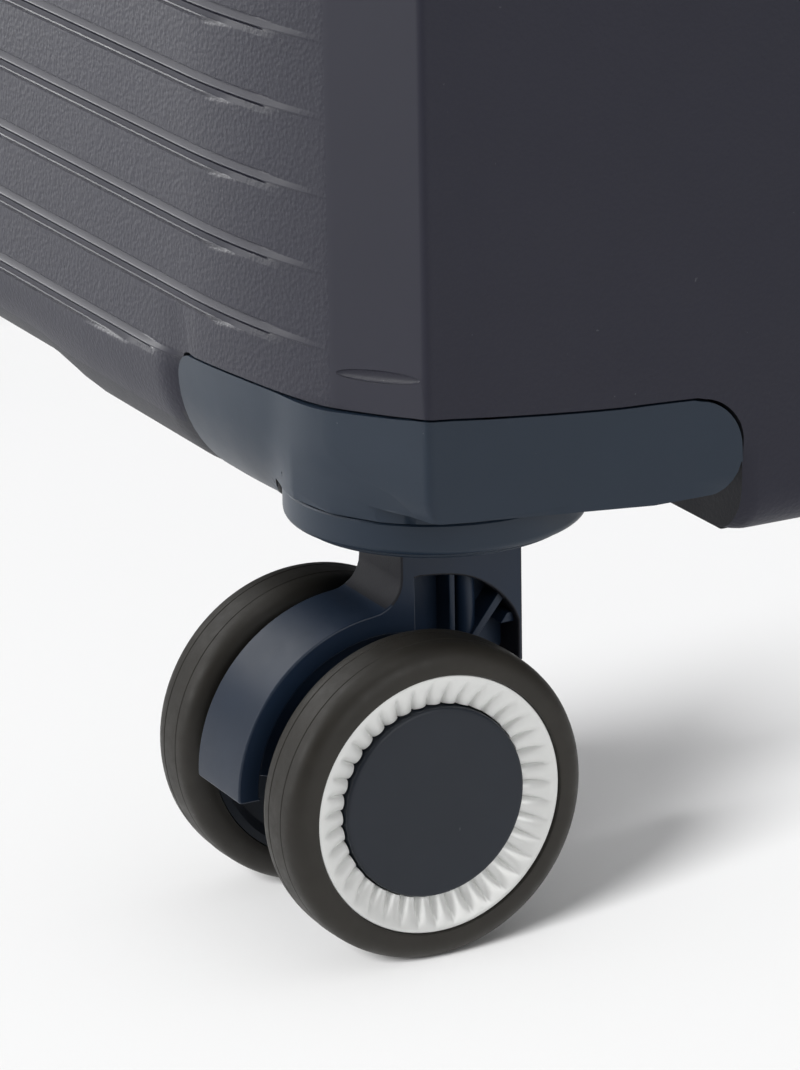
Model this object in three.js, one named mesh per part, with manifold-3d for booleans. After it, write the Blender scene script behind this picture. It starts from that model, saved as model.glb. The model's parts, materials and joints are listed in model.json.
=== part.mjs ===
// A cabin-size hard shell suitcase that stands on four twin-wheel swivel casters.
// Millimetres, +Z up. The origin is on the floor, under the middle of the case. The front broad
// face looks along -Y, the zipper side is +X and the fabric hinge side is -X.
import * as THREE from "three";
import { mergeVertices } from "three/addons/utils/BufferGeometryUtils.js";
import Module from "manifold-3d";

// ---- driving dimensions ----
const WIDTH = 380; // shell, along X
const DEPTH = 222; // shell, along Y
const SHELL_BOTTOM = 58.5; // height of the shell's underside above the floor
const SHELL_TOP = 532;
const WALL = 2.2; // polypropylene shell
const BOW_START = 132.6; // the broad faces bend back beyond this distance from the middle
const BOW = 0.00287; // and fall away by this times the square of the distance past it
const STRIP_START = 171; // a flat strip runs down each upright corner from here to the side face
const CORNER_CUT = 10.5; // how far the strip's outer edge is behind the broad face
const STRIP_SLOPE = 0.3316; // how much the strip falls back for each millimetre along X
const BROAD_FILLET = 21; // where the broad faces turn under and over
const SIDE_FILLET = 7; // where the side faces turn under and over
const SEAM_HALF = 8; // each half shell stops this far from the middle plane
const GAP = 0.4; // between neighbours
const BEYOND = 30; // cutters run on this far past the surface that they open
const PROUD = 2.3; // how far the lock, the handle pans and the hinge strip stand out

const CASTER_INSET_X = 26.4; // swivel axis to the side face
const CASTER_INSET_Y = 25.6; // swivel axis to the broad face
const WELL_X = 61.4; // corner well, measured from the side face
const WELL_Y = 64.2; // corner well, measured from the broad face
const WELL_TOP = 86;
const WELL_RADIUS = 22;
const HOUSING_BOTTOM = 68;
const CUP_RADIUS = 23.2;
const CUP_BOTTOM = 62;
const STEM_RADIUS = 6;

const WHEEL_RADIUS = 25;
const WHEEL_TRAIL = 12.4; // wheel axle behind the swivel axis
const TYRE_WIDTH = 12;
const TYRE_SHOULDER = 3;
const PAIR_HALF_WIDTH = 23.9; // outer face of either tyre from the swivel axis
const HUB_RADIUS = 20.1;
const AXLE_RADIUS = 2;
const FENDER_RADIUS = 25.4;
const FENDER_THICKNESS = 2.5;
const FORK_HALF_WIDTH = 7;
const NECK_FRONT = -9.7; // the fork's neck along Y, from the swivel axis
const NECK_BACK = 11.1;

const TUBE_X = 70; // trolley tubes from the middle plane
const TUBE_Y = 74;
const TUBE_OUTER = [24, 13];
const TUBE_MIDDLE = [20.4, 9.4];
const TUBE_INNER = [17, 6];
const TUBE_WALL = 1.2;
const TUBE_BOTTOM = 79;

// ---- worked-out values ----
const HALF_W = WIDTH / 2;
const HALF_D = DEPTH / 2;
const CASTER_X = HALF_W - CASTER_INSET_X;
const CASTER_Y = HALF_D - CASTER_INSET_Y;
const FACE_X = HALF_W + PROUD; // outermost plane on either side

// ---- materials ----
const paint = (color, roughness, metalness = 0) =>
  new THREE.MeshStandardMaterial({ color, roughness, metalness });
const NAVY = 0x3b3c48;
const SLATE = 0x35404e;
const shellPlastic = () => paint(NAVY, 0.55);
const casterPlastic = () => paint(SLATE, 0.45);
const forkPlastic = () => paint(0x2f3a48, 0.5);
const rubber = () => paint(0x2c2b29, 0.7);
const wheelPlastic = () => paint(0xd8d9d6, 0.4);
const steel = () => paint(0xb8babc, 0.35, 1);
const aluminium = () => paint(0xa9adb3, 0.4, 1);
const darkPlastic = () => paint(0x23262e, 0.5);
const fabric = () => paint(0x30333c, 0.9);
const liningFabric = () => paint(0x6a7080, 0.9);
const darkZinc = () => paint(0x3a3d44, 0.4, 0.8);

// ---- solids ----
const wasm = await Module();
wasm.setup();

function solidOf(geometry) {
  const bare = geometry.clone();
  bare.deleteAttribute("normal");
  bare.deleteAttribute("uv");
  const merged = mergeVertices(bare, 1e-4);
  const mesh = new wasm.Mesh({
    numProp: 3,
    vertProperties: new Float32Array(merged.attributes.position.array),
    triVerts: new Uint32Array(merged.index.array),
  });
  return new wasm.Manifold(mesh);
}

function geometryOf(solid) {
  const mesh = solid.getMesh();
  const geometry = new THREE.BufferGeometry();
  geometry.setAttribute("position", new THREE.BufferAttribute(mesh.vertProperties, 3));
  geometry.setIndex(new THREE.BufferAttribute(mesh.triVerts, 1));
  geometry.computeVertexNormals();
  return geometry;
}

function box([x0, x1], [y0, y1], [z0, z1]) {
  const geometry = new THREE.BoxGeometry(x1 - x0, y1 - y0, z1 - z0);
  geometry.translate((x0 + x1) / 2, (y0 + y1) / 2, (z0 + z1) / 2);
  return solidOf(geometry);
}

// A cylinder along X, Y or Z between two stations.
function rod(axis, radius, [from, to], centre = [0, 0, 0], sides = 20) {
  const geometry = new THREE.CylinderGeometry(radius, radius, to - from, sides);
  geometry.translate(0, (from + to) / 2, 0);
  if (axis === "x") geometry.rotateZ(-Math.PI / 2);
  if (axis === "z") geometry.rotateX(Math.PI / 2);
  geometry.translate(...centre);
  return solidOf(geometry);
}

// Extrudes an outline drawn in the plane across `axis`: (y, z) for x, (x, z) for y, (x, y) for z.
function extrude(axis, shape, [from, to], curveSegments = 3) {
  const geometry = new THREE.ExtrudeGeometry(shape, {
    depth: to - from,
    bevelEnabled: false,
    curveSegments,
  });
  // The basis for Y points the depth along -Y, which keeps the faces turned out.
  geometry.translate(0, 0, axis === "y" ? -to : from);
  const basis = new THREE.Matrix4();
  if (axis === "x") basis.set(0, 0, 1, 0, 1, 0, 0, 0, 0, 1, 0, 0, 0, 0, 0, 1);
  if (axis === "y") basis.set(1, 0, 0, 0, 0, 0, -1, 0, 0, 1, 0, 0, 0, 0, 0, 1);
  geometry.applyMatrix4(basis);
  return solidOf(geometry);
}

// A rectangle from corner to corner with rounded corners.
function roundedRectangle([u0, u1], [v0, v1], r) {
  const shape = new THREE.Shape();
  shape.moveTo(u0 + r, v0);
  shape.lineTo(u1 - r, v0);
  shape.absarc(u1 - r, v0 + r, r, -Math.PI / 2, 0);
  shape.lineTo(u1, v1 - r);
  shape.absarc(u1 - r, v1 - r, r, 0, Math.PI / 2);
  shape.lineTo(u0 + r, v1);
  shape.absarc(u0 + r, v1 - r, r, Math.PI / 2, Math.PI);
  shape.lineTo(u0, v0 + r);
  shape.absarc(u0 + r, v0 + r, r, Math.PI, 1.5 * Math.PI);
  return shape;
}

// The case in plan, drawn in by `inset`: each broad face bends back and ends in a flat strip.
function casePlan(inset) {
  const bowed = (x) => [x, HALF_D - BOW * (x - BOW_START) ** 2 - inset];
  const stripEnd = CORNER_CUT + inset * (Math.hypot(1, STRIP_SLOPE) - STRIP_SLOPE);
  const quarter = [
    bowed(BOW_START),
    bowed((BOW_START + STRIP_START) / 2),
    bowed(STRIP_START),
    [HALF_W - inset, HALF_D - stripEnd],
  ];
  const back = [...quarter].reverse();
  const outline = [
    ...quarter.map(([x, y]) => [x, -y]),
    ...back,
    ...quarter.map(([x, y]) => [-x, y]),
    ...back.map(([x, y]) => [-x, -y]),
  ];
  return new THREE.Shape(outline.map(([x, y]) => new THREE.Vector2(x, y)));
}

// The closed case's outside, drawn in by `inset`.
function caseBlock(inset) {
  const x = HALF_W - inset;
  const y = HALF_D - inset;
  const z = [SHELL_BOTTOM + inset, SHELL_TOP - inset];
  const plan = extrude("z", casePlan(inset), z);
  const side = extrude("x", roundedRectangle([-y, y], z, BROAD_FILLET - inset), [-x, x]);
  const front = extrude("y", roundedRectangle([-x, x], z, SIDE_FILLET - inset), [-y, y]);
  return plan.intersect(side).intersect(front);
}

// The well that a caster stands in, at the corner signed sx, sy, made larger by `grow`.
function well(sx, sy, grow) {
  const x = HALF_W - WELL_X - grow;
  const y = HALF_D - WELL_Y - grow;
  const shape = roundedRectangle([x, HALF_W + BEYOND], [y, HALF_D + BEYOND], WELL_RADIUS);
  const solid = extrude("z", shape, [SHELL_BOTTOM - BEYOND, WELL_TOP + grow]);
  return solid.scale([sx, sy, 1]);
}

const corners = [-1, 1].flatMap((sx) => [-1, 1].map((sy) => [sx, sy]));

// The four corner wells, made larger by `grow`.
const wells = (grow) => corners.map(([sx, sy]) => well(sx, sy, grow));

// A tray that goes round its dents: `dents(grow)` gives their solids, larger by `grow`.
function tray(outside, inside, dents, { clear, thick }) {
  let walls = outside;
  let hollow = inside;
  for (const dent of dents(clear)) walls = walls.subtract(dent);
  for (const dent of dents(clear + thick)) hollow = hollow.subtract(dent);
  return walls.subtract(hollow);
}

// ---- the scene graph ----
const suitcase = new THREE.Group();

function add(name, solid, material, parent = suitcase) {
  const mesh = new THREE.Mesh(geometryOf(solid), material);
  mesh.name = name;
  parent.add(mesh);
  return mesh;
}

// ---- half shells ----
const span = 2 * HALF_W;
const frontHalf = () => box([-span, span], [-span, -SEAM_HALF], [0, 2 * span]);
const rearHalf = () => box([-span, span], [SEAM_HALF, span], [0, 2 * span]);

const PAN_LENGTH = 150;
const PAN_WIDTH = 40;
const PAN_DEPTH = 16;
const PAN_FLANGE = 3; // rim that covers the cut-out
const PAN_WALL = 1.6;
const TOP_PAN_Y = 31.5;
const SIDE_PAN_Y = 66;
const MID_Z = 300;
const BEZEL = { x: 96, y: [58, 90], depth: 17 };
const LOCK = { y: [10, 37], z: [266, 334], depth: 14 };

// The cut-outs in the rear shell for the parts that are let into it.
function rearCutOuts() {
  const half = PAN_LENGTH / 2 - PAN_FLANGE + GAP;
  const across = PAN_WIDTH / 2 - PAN_FLANGE + GAP;
  const topZ = [SHELL_TOP - 10, SHELL_TOP + 10];
  const sideX = [HALF_W - 10, HALF_W + 10];
  const bezelX = BEZEL.x - PAN_FLANGE + GAP;
  const bezelY = [BEZEL.y[0] + PAN_FLANGE - GAP, BEZEL.y[1] - PAN_FLANGE + GAP];
  return [
    box([-half, half], [TOP_PAN_Y - across, TOP_PAN_Y + across], topZ),
    box(sideX, [SIDE_PAN_Y - across, SIDE_PAN_Y + across], [MID_Z - half, MID_Z + half]),
    box([-bezelX, bezelX], bezelY, topZ),
    box(sideX, [LOCK.y[0] + 2, LOCK.y[1] - 2], [LOCK.z[0] + 2, LOCK.z[1] - 2]),
  ];
}

const shellWalls = { clear: 0, thick: WALL };
const wholeShell = tray(caseBlock(0), caseBlock(WALL), wells, shellWalls);
add("front_shell", wholeShell.intersect(frontHalf()), shellPlastic());
let rearShell = wholeShell.intersect(rearHalf());
for (const cutter of rearCutOuts()) rearShell = rearShell.subtract(cutter);
add("rear_shell", rearShell, shellPlastic());

// ---- linings: thin fabric trays inside the halves ----
const LINING_THICK = 0.8;
const LINING_GAP = 1.5;
const liningWalls = { clear: WALL + LINING_GAP, thick: LINING_THICK };

// The rear lining also goes round the two trolley tubes and the bracket they stand on.
function trolleyDents(grow) {
  const y = [TUBE_Y - 9 - grow, span];
  const channel = (x) => box([x - 15 - grow, x + 15 + grow], y, [0, 2 * span]);
  const footX = TUBE_X + 16 + grow;
  return [channel(-TUBE_X), channel(TUBE_X), box([-footX, footX], y, [0, TUBE_BOTTOM + grow])];
}
function lining(x, y, z, mouthY, dents) {
  const t = LINING_THICK;
  const inside = box([x[0] + t, x[1] - t], mouthY, [z[0] + t, z[1] - t]);
  return tray(box(x, y, z), inside, dents, liningWalls);
}
const frontMouth = [-98 + LINING_THICK, 0];
const frontLining = lining([-176, 176], [-98, -9], [64, 526], frontMouth, wells);
add("front_lining", frontLining, liningFabric());
const rearDents = (grow) => [...wells(grow), ...trolleyDents(grow)];
const rearMouth = [0, 98 - LINING_THICK];
const rearLining = lining([-176, 170], [9, 98], [64, 510], rearMouth, rearDents);
add("rear_lining", rearLining, liningFabric());

// ---- zipper: a tape on each half round three sides, a fabric hinge strip on the fourth ----
const TAPE_SINK = 1;
const TAPE_THICK = 2.6;
const TAPE_STOP = 14; // the tape ends this far from the hinge side
const HINGE = { halfWidth: 15, z: [80, 510] };
const SLIDER = { offset: 12, halfWidth: 5, halfLength: 7, sunk: 0.6, proud: 0.9 };
const PULL = { y: [-3.5, 24], halfWidth: 4, corner: 3, under: 1.2 };

function zipTape([y0, y1]) {
  const ring = (inset) =>
    extrude(
      "y",
      roundedRectangle(
        [-HALF_W + inset, HALF_W - inset],
        [SHELL_BOTTOM + inset, SHELL_TOP - inset],
        SIDE_FILLET - inset / 2,
      ),
      [y0, y1],
    );
  const hollow = ring(TAPE_SINK + TAPE_THICK);
  const opening = box([-span, -HALF_W + TAPE_STOP], [-span, span], [0, 2 * span]);
  return ring(TAPE_SINK).subtract(hollow).subtract(opening);
}
add("front_zip_tape", zipTape([-SEAM_HALF + GAP, -GAP / 2]), fabric());
add("rear_zip_tape", zipTape([GAP / 2, SEAM_HALF - GAP]), fabric());
const hingeY = [-HINGE.halfWidth, HINGE.halfWidth];
const hingeStrip = box([-FACE_X, -HALF_W - GAP], hingeY, HINGE.z);
add("hinge_gusset", hingeStrip, fabric());

// Each slider body runs on the teeth at y = 0; its pull tab lies across the lock's face.
for (const [name, side] of [["lower", -1], ["upper", 1]]) {
  const z = MID_Z + side * SLIDER.offset;
  const bodyX = [HALF_W - SLIDER.sunk, HALF_W + SLIDER.proud];
  const bodyZ = [z - SLIDER.halfLength, z + SLIDER.halfLength];
  const body = box(bodyX, [-SLIDER.halfWidth, SLIDER.halfWidth], bodyZ);
  add("zip_slider_" + name, body, darkZinc());
  const tab = roundedRectangle(PULL.y, [z - PULL.halfWidth, z + PULL.halfWidth], PULL.corner);
  const pull = extrude("x", tab, [HALF_W + PULL.under, FACE_X]);
  add("zip_pull_" + name, pull, darkZinc());
}

// ---- combination lock, let into the rear shell beside the seam ----
const LOCK_FACE = HALF_W + 0.9;
const LOCK_LIP = 2; // the face plate laps over the cut-out by this much
const LOCK_SINK = 0.6; // how far the case behind the plate reaches into it
const DIAL = { radius: 5, width: 4, y: 27.6, pitch: 8, first: 22, proud: 1.4, turned: 0.4 };
const DIAL_SLOT_DEPTH = 11;
const RELEASE_SLOT = { y: [14, 30], z: [270, 284], depth: 3 };
const RELEASE_TRAVEL = 5;
const OPEN_SIDE = 5; // slots are cut this far past the face

function lockBody() {
  let body = box([HALF_W + GAP, LOCK_FACE], LOCK.y, LOCK.z);
  const inset = LOCK_LIP + GAP;
  const pocketY = [LOCK.y[0] + inset, LOCK.y[1] - inset];
  const pocketZ = [LOCK.z[0] + inset, LOCK.z[1] - inset];
  body = body.add(box([HALF_W - LOCK.depth, HALF_W + LOCK_SINK], pocketY, pocketZ));
  const clear = DIAL.radius + GAP;
  for (const z of dialHeights()) {
    const slotZ = [z - DIAL.width / 2 - GAP, z + DIAL.width / 2 + GAP];
    const slotX = [LOCK_FACE - DIAL_SLOT_DEPTH, LOCK_FACE + OPEN_SIDE];
    body = body.subtract(box(slotX, [DIAL.y - clear, DIAL.y + clear], slotZ));
  }
  const releaseX = [LOCK_FACE - RELEASE_SLOT.depth, LOCK_FACE + OPEN_SIDE];
  return body.subtract(box(releaseX, RELEASE_SLOT.y, RELEASE_SLOT.z));
}
function dialHeights() {
  return [-1, 0, 1].map((k) => MID_Z + DIAL.first + k * DIAL.pitch);
}
add("lock_body", lockBody(), darkPlastic());
dialHeights().forEach((z, i) => {
  const dialZ = [z - DIAL.width / 2, z + DIAL.width / 2];
  const dial = rod("z", DIAL.radius - DIAL.turned, dialZ, [0, 0, 0], 10);
  const mesh = add("lock_dial_" + (i + 1), dial, wheelPlastic());
  mesh.position.set(LOCK_FACE - DIAL.radius + DIAL.proud, DIAL.y, 0);
});
const releaseX = [LOCK_FACE - RELEASE_SLOT.depth + GAP, FACE_X - GAP];
const releaseY = [RELEASE_SLOT.y[0] + GAP, RELEASE_SLOT.y[1] - GAP];
const releaseZ = [RELEASE_SLOT.z[0] + GAP, RELEASE_SLOT.z[1] - GAP - RELEASE_TRAVEL];
const release = box(releaseX, releaseY, releaseZ);
add("lock_release", release, steel());

// ---- carry handles: a recessed pan and a grip that pulls out of it ----
const GRIP = { length: 126, width: 18, bar: 7, leg: 9, bevel: [5, 3] };
const GRIP_FLOOR_GAP = 2.4;
const RIM_CORNER = 8; // of the pans' rims and the bezel's
const RIM_SINK = 0.6; // the pans' rims are this much lower than the outermost plane

// Drawn lying on the plane z = 0, long side along X.
function handlePan() {
  const half = PAN_LENGTH / 2;
  const across = PAN_WIDTH / 2;
  const rim = roundedRectangle([-half, half], [-across, across], RIM_CORNER);
  let pan = extrude("z", rim, [GAP, PROUD - RIM_SINK]);
  const bodyX = half - PAN_FLANGE;
  const bodyY = across - PAN_FLANGE;
  pan = pan.add(box([-bodyX, bodyX], [-bodyY, bodyY], [-PAN_DEPTH, 1]));
  const t = PAN_WALL;
  const hollowY = bodyY - t;
  const hollowZ = [-PAN_DEPTH + t, BEYOND];
  return pan.subtract(box([-bodyX + t, bodyX - t], [-hollowY, hollowY], hollowZ));
}
function handleGrip() {
  const half = GRIP.length / 2;
  const top = PROUD;
  const floor = -PAN_DEPTH + GRIP_FLOOR_GAP;
  const [bevelX, bevelZ] = GRIP.bevel;
  const shape = new THREE.Shape();
  shape.moveTo(-half, floor);
  shape.lineTo(-half + GRIP.leg, floor);
  shape.lineTo(-half + GRIP.leg, top - GRIP.bar);
  shape.lineTo(half - GRIP.leg, top - GRIP.bar);
  shape.lineTo(half - GRIP.leg, floor);
  shape.lineTo(half, floor);
  shape.lineTo(half, top - bevelZ);
  shape.lineTo(half - bevelX, top);
  shape.lineTo(-half + bevelX, top);
  shape.lineTo(-half, top - bevelZ);
  return extrude("y", shape, [-GRIP.width / 2, GRIP.width / 2]);
}
const topHandle = new THREE.Group();
topHandle.position.set(0, TOP_PAN_Y, SHELL_TOP);
const sideHandle = new THREE.Group();
sideHandle.position.set(HALF_W, SIDE_PAN_Y, MID_Z);
sideHandle.rotation.y = Math.PI / 2;
suitcase.add(topHandle, sideHandle);
add("top_handle_pan", handlePan(), darkPlastic(), topHandle);
add("top_handle_grip", handleGrip(), darkPlastic(), topHandle);
add("side_handle_pan", handlePan(), darkPlastic(), sideHandle);
add("side_handle_grip", handleGrip(), darkPlastic(), sideHandle);

// ---- trolley handle ----
const TROLLEY_GRIP = { half: 86, y: [64, 84], z: [520, 540], corner: 6 };
const BEZEL_WALLS = { x: 2, front: 1, rear: 1.4, floor: 2 };
const TUBE_CLEARANCE = 0.5;
const BRACKET = { reach: 16, halfWidth: 9, height: 8.6 };
const STAGE_STEP = 3; // each inner tube starts this much higher than the one around it
const BEZEL_FLOOR = SHELL_TOP - BEZEL.depth;

function tubeOutline([w, d]) {
  return roundedRectangle([-w / 2, w / 2], [-d / 2, d / 2], d / 4);
}
function tube(size, [z0, z1], wall = TUBE_WALL) {
  const outer = extrude("z", tubeOutline(size), [z0, z1], 1);
  const bore = extrude("z", tubeOutline(size.map((s) => s - 2 * wall)), [z0 - 1, z1 + 1], 1);
  return outer.subtract(bore);
}
function trolleyBezel() {
  const rim = roundedRectangle([-BEZEL.x, BEZEL.x], BEZEL.y, RIM_CORNER);
  let bezel = extrude("z", rim, [SHELL_TOP + GAP, SHELL_TOP + PROUD]);
  const x = BEZEL.x - PAN_FLANGE;
  const y = [BEZEL.y[0] + PAN_FLANGE, BEZEL.y[1] - PAN_FLANGE];
  const walls = BEZEL_WALLS;
  bezel = bezel.add(box([-x, x], y, [BEZEL_FLOOR - walls.floor, SHELL_TOP + 1]));
  const pocketX = [-x + walls.x, x - walls.x];
  const pocketY = [y[0] + walls.front, y[1] - walls.rear];
  bezel = bezel.subtract(box(pocketX, pocketY, [BEZEL_FLOOR, SHELL_TOP + BEYOND]));
  for (const side of [-1, 1]) {
    const holeSize = TUBE_MIDDLE.map((s) => s + 2 * TUBE_CLEARANCE);
    const holeZ = [BEZEL_FLOOR - BEYOND, SHELL_TOP + BEYOND];
    const hole = extrude("z", tubeOutline(holeSize), holeZ, 1);
    bezel = bezel.subtract(hole.translate([side * TUBE_X, TUBE_Y, 0]));
  }
  return bezel;
}
add("trolley_bezel", trolleyBezel(), darkPlastic());
const bracketX = [-TUBE_X - BRACKET.reach, TUBE_X + BRACKET.reach];
const bracketY = [TUBE_Y - BRACKET.halfWidth, TUBE_Y + BRACKET.halfWidth];
const bracketZ = [TUBE_BOTTOM - GAP - BRACKET.height, TUBE_BOTTOM - GAP];
const tubeFoot = box(bracketX, bracketY, bracketZ);
add("trolley_foot_bracket", tubeFoot, darkPlastic());
for (const [name, side] of [["left", -1], ["right", 1]]) {
  const rail = new THREE.Group();
  rail.position.set(side * TUBE_X, TUBE_Y, 0);
  suitcase.add(rail);
  const outer = tube(TUBE_OUTER, [TUBE_BOTTOM, BEZEL_FLOOR - BEZEL_WALLS.floor - GAP]);
  add("trolley_outer_tube_" + name, outer, aluminium(), rail);
  const middle = tube(TUBE_MIDDLE, [TUBE_BOTTOM + STAGE_STEP, BEZEL_FLOOR + 1]);
  add("trolley_middle_tube_" + name, middle, aluminium(), rail);
  const inner = tube(TUBE_INNER, [TUBE_BOTTOM + 2 * STAGE_STEP, TROLLEY_GRIP.z[0] - GAP]);
  add("trolley_inner_tube_" + name, inner, aluminium(), rail);
}
const BUTTON = { half: 22, y: [69, 79], sunk: 6, proud: 1.5, slotDepth: 10 };

function trolleyGrip() {
  const { half, y, z, corner } = TROLLEY_GRIP;
  const bar = extrude("y", roundedRectangle([-half, half], z, corner), y);
  const slotX = [-BUTTON.half - GAP, BUTTON.half + GAP];
  const slotY = [BUTTON.y[0] - GAP, BUTTON.y[1] + GAP];
  return bar.subtract(box(slotX, slotY, [z[1] - BUTTON.slotDepth, z[1] + BEYOND]));
}
add("trolley_grip", trolleyGrip(), darkPlastic());
const buttonZ = [TROLLEY_GRIP.z[1] - BUTTON.sunk, TROLLEY_GRIP.z[1] + BUTTON.proud];
add("trolley_button", box([-BUTTON.half, BUTTON.half], BUTTON.y, buttonZ), steel());

// ---- packing straps: a V on each side, clipped together in the middle of the rear half ----
const STRAP = { width: 24, y: [10.5, 11.7], x: 160, z: 130, start: 16 };
const BUCKLE = { length: 30, halfWidth: 17, below: 0.7, above: 4 };

function packingStrap(side) {
  const arm = (up) => {
    const from = new THREE.Vector2(side * STRAP.start, MID_Z);
    const to = new THREE.Vector2(side * STRAP.x, MID_Z + up * STRAP.z);
    const along = to.clone().sub(from).normalize();
    const across = new THREE.Vector2(-along.y, along.x).multiplyScalar(STRAP.width / 2);
    const ends = [from.clone().sub(across), to.clone().sub(across)];
    const back = [to.clone().add(across), from.clone().add(across)];
    return extrude("y", new THREE.Shape([...ends, ...back]), STRAP.y);
  };
  const buckleX = side < 0 ? [-BUCKLE.length, -GAP / 2] : [GAP / 2, BUCKLE.length];
  const buckleY = [STRAP.y[0] - BUCKLE.below, STRAP.y[1] + BUCKLE.above];
  const buckleZ = [MID_Z - BUCKLE.halfWidth, MID_Z + BUCKLE.halfWidth];
  return arm(-1).add(arm(1)).add(box(buckleX, buckleY, buckleZ));
}
add("packing_strap_left", packingStrap(-1), fabric());
add("packing_strap_right", packingStrap(1), fabric());

// ---- casters: drawn for the front right corner (+X, -Y) about the swivel axis ----
const WHEEL_Y = -WHEEL_TRAIL;
const HOUSING_INSET = 0.3; // the moulding is this much inside the case's outside
const CUP_OVERLAP = 4; // the cup runs up into the band
const STEM_SHORT = [3, 4]; // the bore, then the stem, stop this far below the well's roof
const FENDER_START = 0.36 * Math.PI; // the fender's upper end, an angle about the axle
const NECK_BOTTOM = 42;
const WEB_HALF = 2;
const BOSS = { radius: 6, half: 11.4 };
const WINDOW_MARGIN = 2.7;
const AXLE_END = 3.2; // the axle stops this far inside the wheels' outer faces

// The corner moulding: a band flush with the shell, and the round cup under it.
function casterHousing() {
  const inWell = well(1, -1, -GAP).intersect(caseBlock(HOUSING_INSET));
  const band = inWell.intersect(box([0, span], [-span, 0], [HOUSING_BOTTOM, WELL_TOP]));
  let housing = band.translate([-CASTER_X, CASTER_Y, 0]);
  const cupZ = [CUP_BOTTOM, HOUSING_BOTTOM + CUP_OVERLAP];
  housing = housing.add(rod("z", CUP_RADIUS, cupZ, [0, 0, 0], 28));
  const boreZ = [CUP_BOTTOM - BEYOND, WELL_TOP - STEM_SHORT[0]];
  return housing.subtract(rod("z", STEM_RADIUS + 0.5, boreZ, [0, 0, 0], 12));
}

function fenderOutline() {
  const shape = new THREE.Shape();
  const inner = FENDER_RADIUS - FENDER_THICKNESS;
  shape.absarc(WHEEL_Y, WHEEL_RADIUS, FENDER_RADIUS, FENDER_START, Math.PI);
  shape.absarc(WHEEL_Y, WHEEL_RADIUS, inner, Math.PI, FENDER_START, true);
  return shape;
}

// The central web from the neck down to the axle boss.
function webOutline() {
  const axleZ = WHEEL_RADIUS;
  return new THREE.Shape([
    new THREE.Vector2(WHEEL_Y - 6, axleZ),
    new THREE.Vector2(WHEEL_Y + 6, axleZ - 5),
    new THREE.Vector2(NECK_BACK, axleZ + 17),
    new THREE.Vector2(NECK_BACK, axleZ + 30),
    new THREE.Vector2(NECK_FRONT, axleZ + 30),
    new THREE.Vector2(NECK_FRONT - 6, axleZ + 24),
  ]);
}

function swivelFork() {
  const half = FORK_HALF_WIDTH;
  const neckTop = CUP_BOTTOM - GAP;
  let fork = box([-half, half], [NECK_FRONT, NECK_BACK], [NECK_BOTTOM, neckTop]);
  fork = fork.add(extrude("x", fenderOutline(), [-half, half], 8));
  fork = fork.add(extrude("x", webOutline(), [-WEB_HALF, WEB_HALF]));
  const boss = rod("x", BOSS.radius, [-BOSS.half, BOSS.half], [0, WHEEL_Y, WHEEL_RADIUS], 14);
  fork = fork.add(boss);
  const stemZ = [neckTop - CUP_OVERLAP, WELL_TOP - STEM_SHORT[1]];
  fork = fork.add(rod("z", STEM_RADIUS, stemZ, [0, 0, 0], 12));
  const windowLeft = NECK_FRONT + WINDOW_MARGIN;
  const windowRight = NECK_BACK + 2;
  const window = new THREE.Shape([
    new THREE.Vector2(windowLeft, 30),
    new THREE.Vector2(windowRight, 30),
    new THREE.Vector2(windowRight, 45),
    new THREE.Vector2(2, 53.5),
    new THREE.Vector2(windowLeft, 55),
  ]);
  for (const sideX of [[-half - 1, -WEB_HALF], [WEB_HALF, half + 1]]) {
    fork = fork.subtract(extrude("x", window, sideX).subtract(boss));
  }
  return fork.subtract(rod("x", AXLE_RADIUS + 0.1, [-20, 20], [0, WHEEL_Y, WHEEL_RADIUS], 10));
}

// Turned about the X axis from a closed profile of [radius, x] points.
function turned(profile, segments) {
  const points = profile.map(([r, x]) => new THREE.Vector2(r, x));
  return solidOf(new THREE.LatheGeometry(points, segments).rotateZ(-Math.PI / 2));
}

function tyre() {
  const inner = PAIR_HALF_WIDTH - TYRE_WIDTH;
  const outer = PAIR_HALF_WIDTH;
  const bore = HUB_RADIUS + GAP;
  const tread = WHEEL_RADIUS;
  const s = TYRE_SHOULDER;
  const profile = [
    [bore, inner],
    [tread - s, inner],
    [tread, inner + s],
    [tread, outer - s],
    [tread - s, outer],
    [bore, outer],
    [bore, inner],
  ];
  return turned(profile, 24);
}
function hub() {
  const inner = PAIR_HALF_WIDTH - TYRE_WIDTH + 0.3;
  const outer = PAIR_HALF_WIDTH - 0.5;
  const bore = AXLE_RADIUS + 0.3;
  const blind = outer - 2; // the hub cap closes the bore on the outside
  const profile = [
    [0, blind],
    [bore, blind],
    [bore, inner],
    [HUB_RADIUS, inner],
    [HUB_RADIUS, outer],
    [0, outer],
  ];
  return turned(profile, 20);
}

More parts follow.
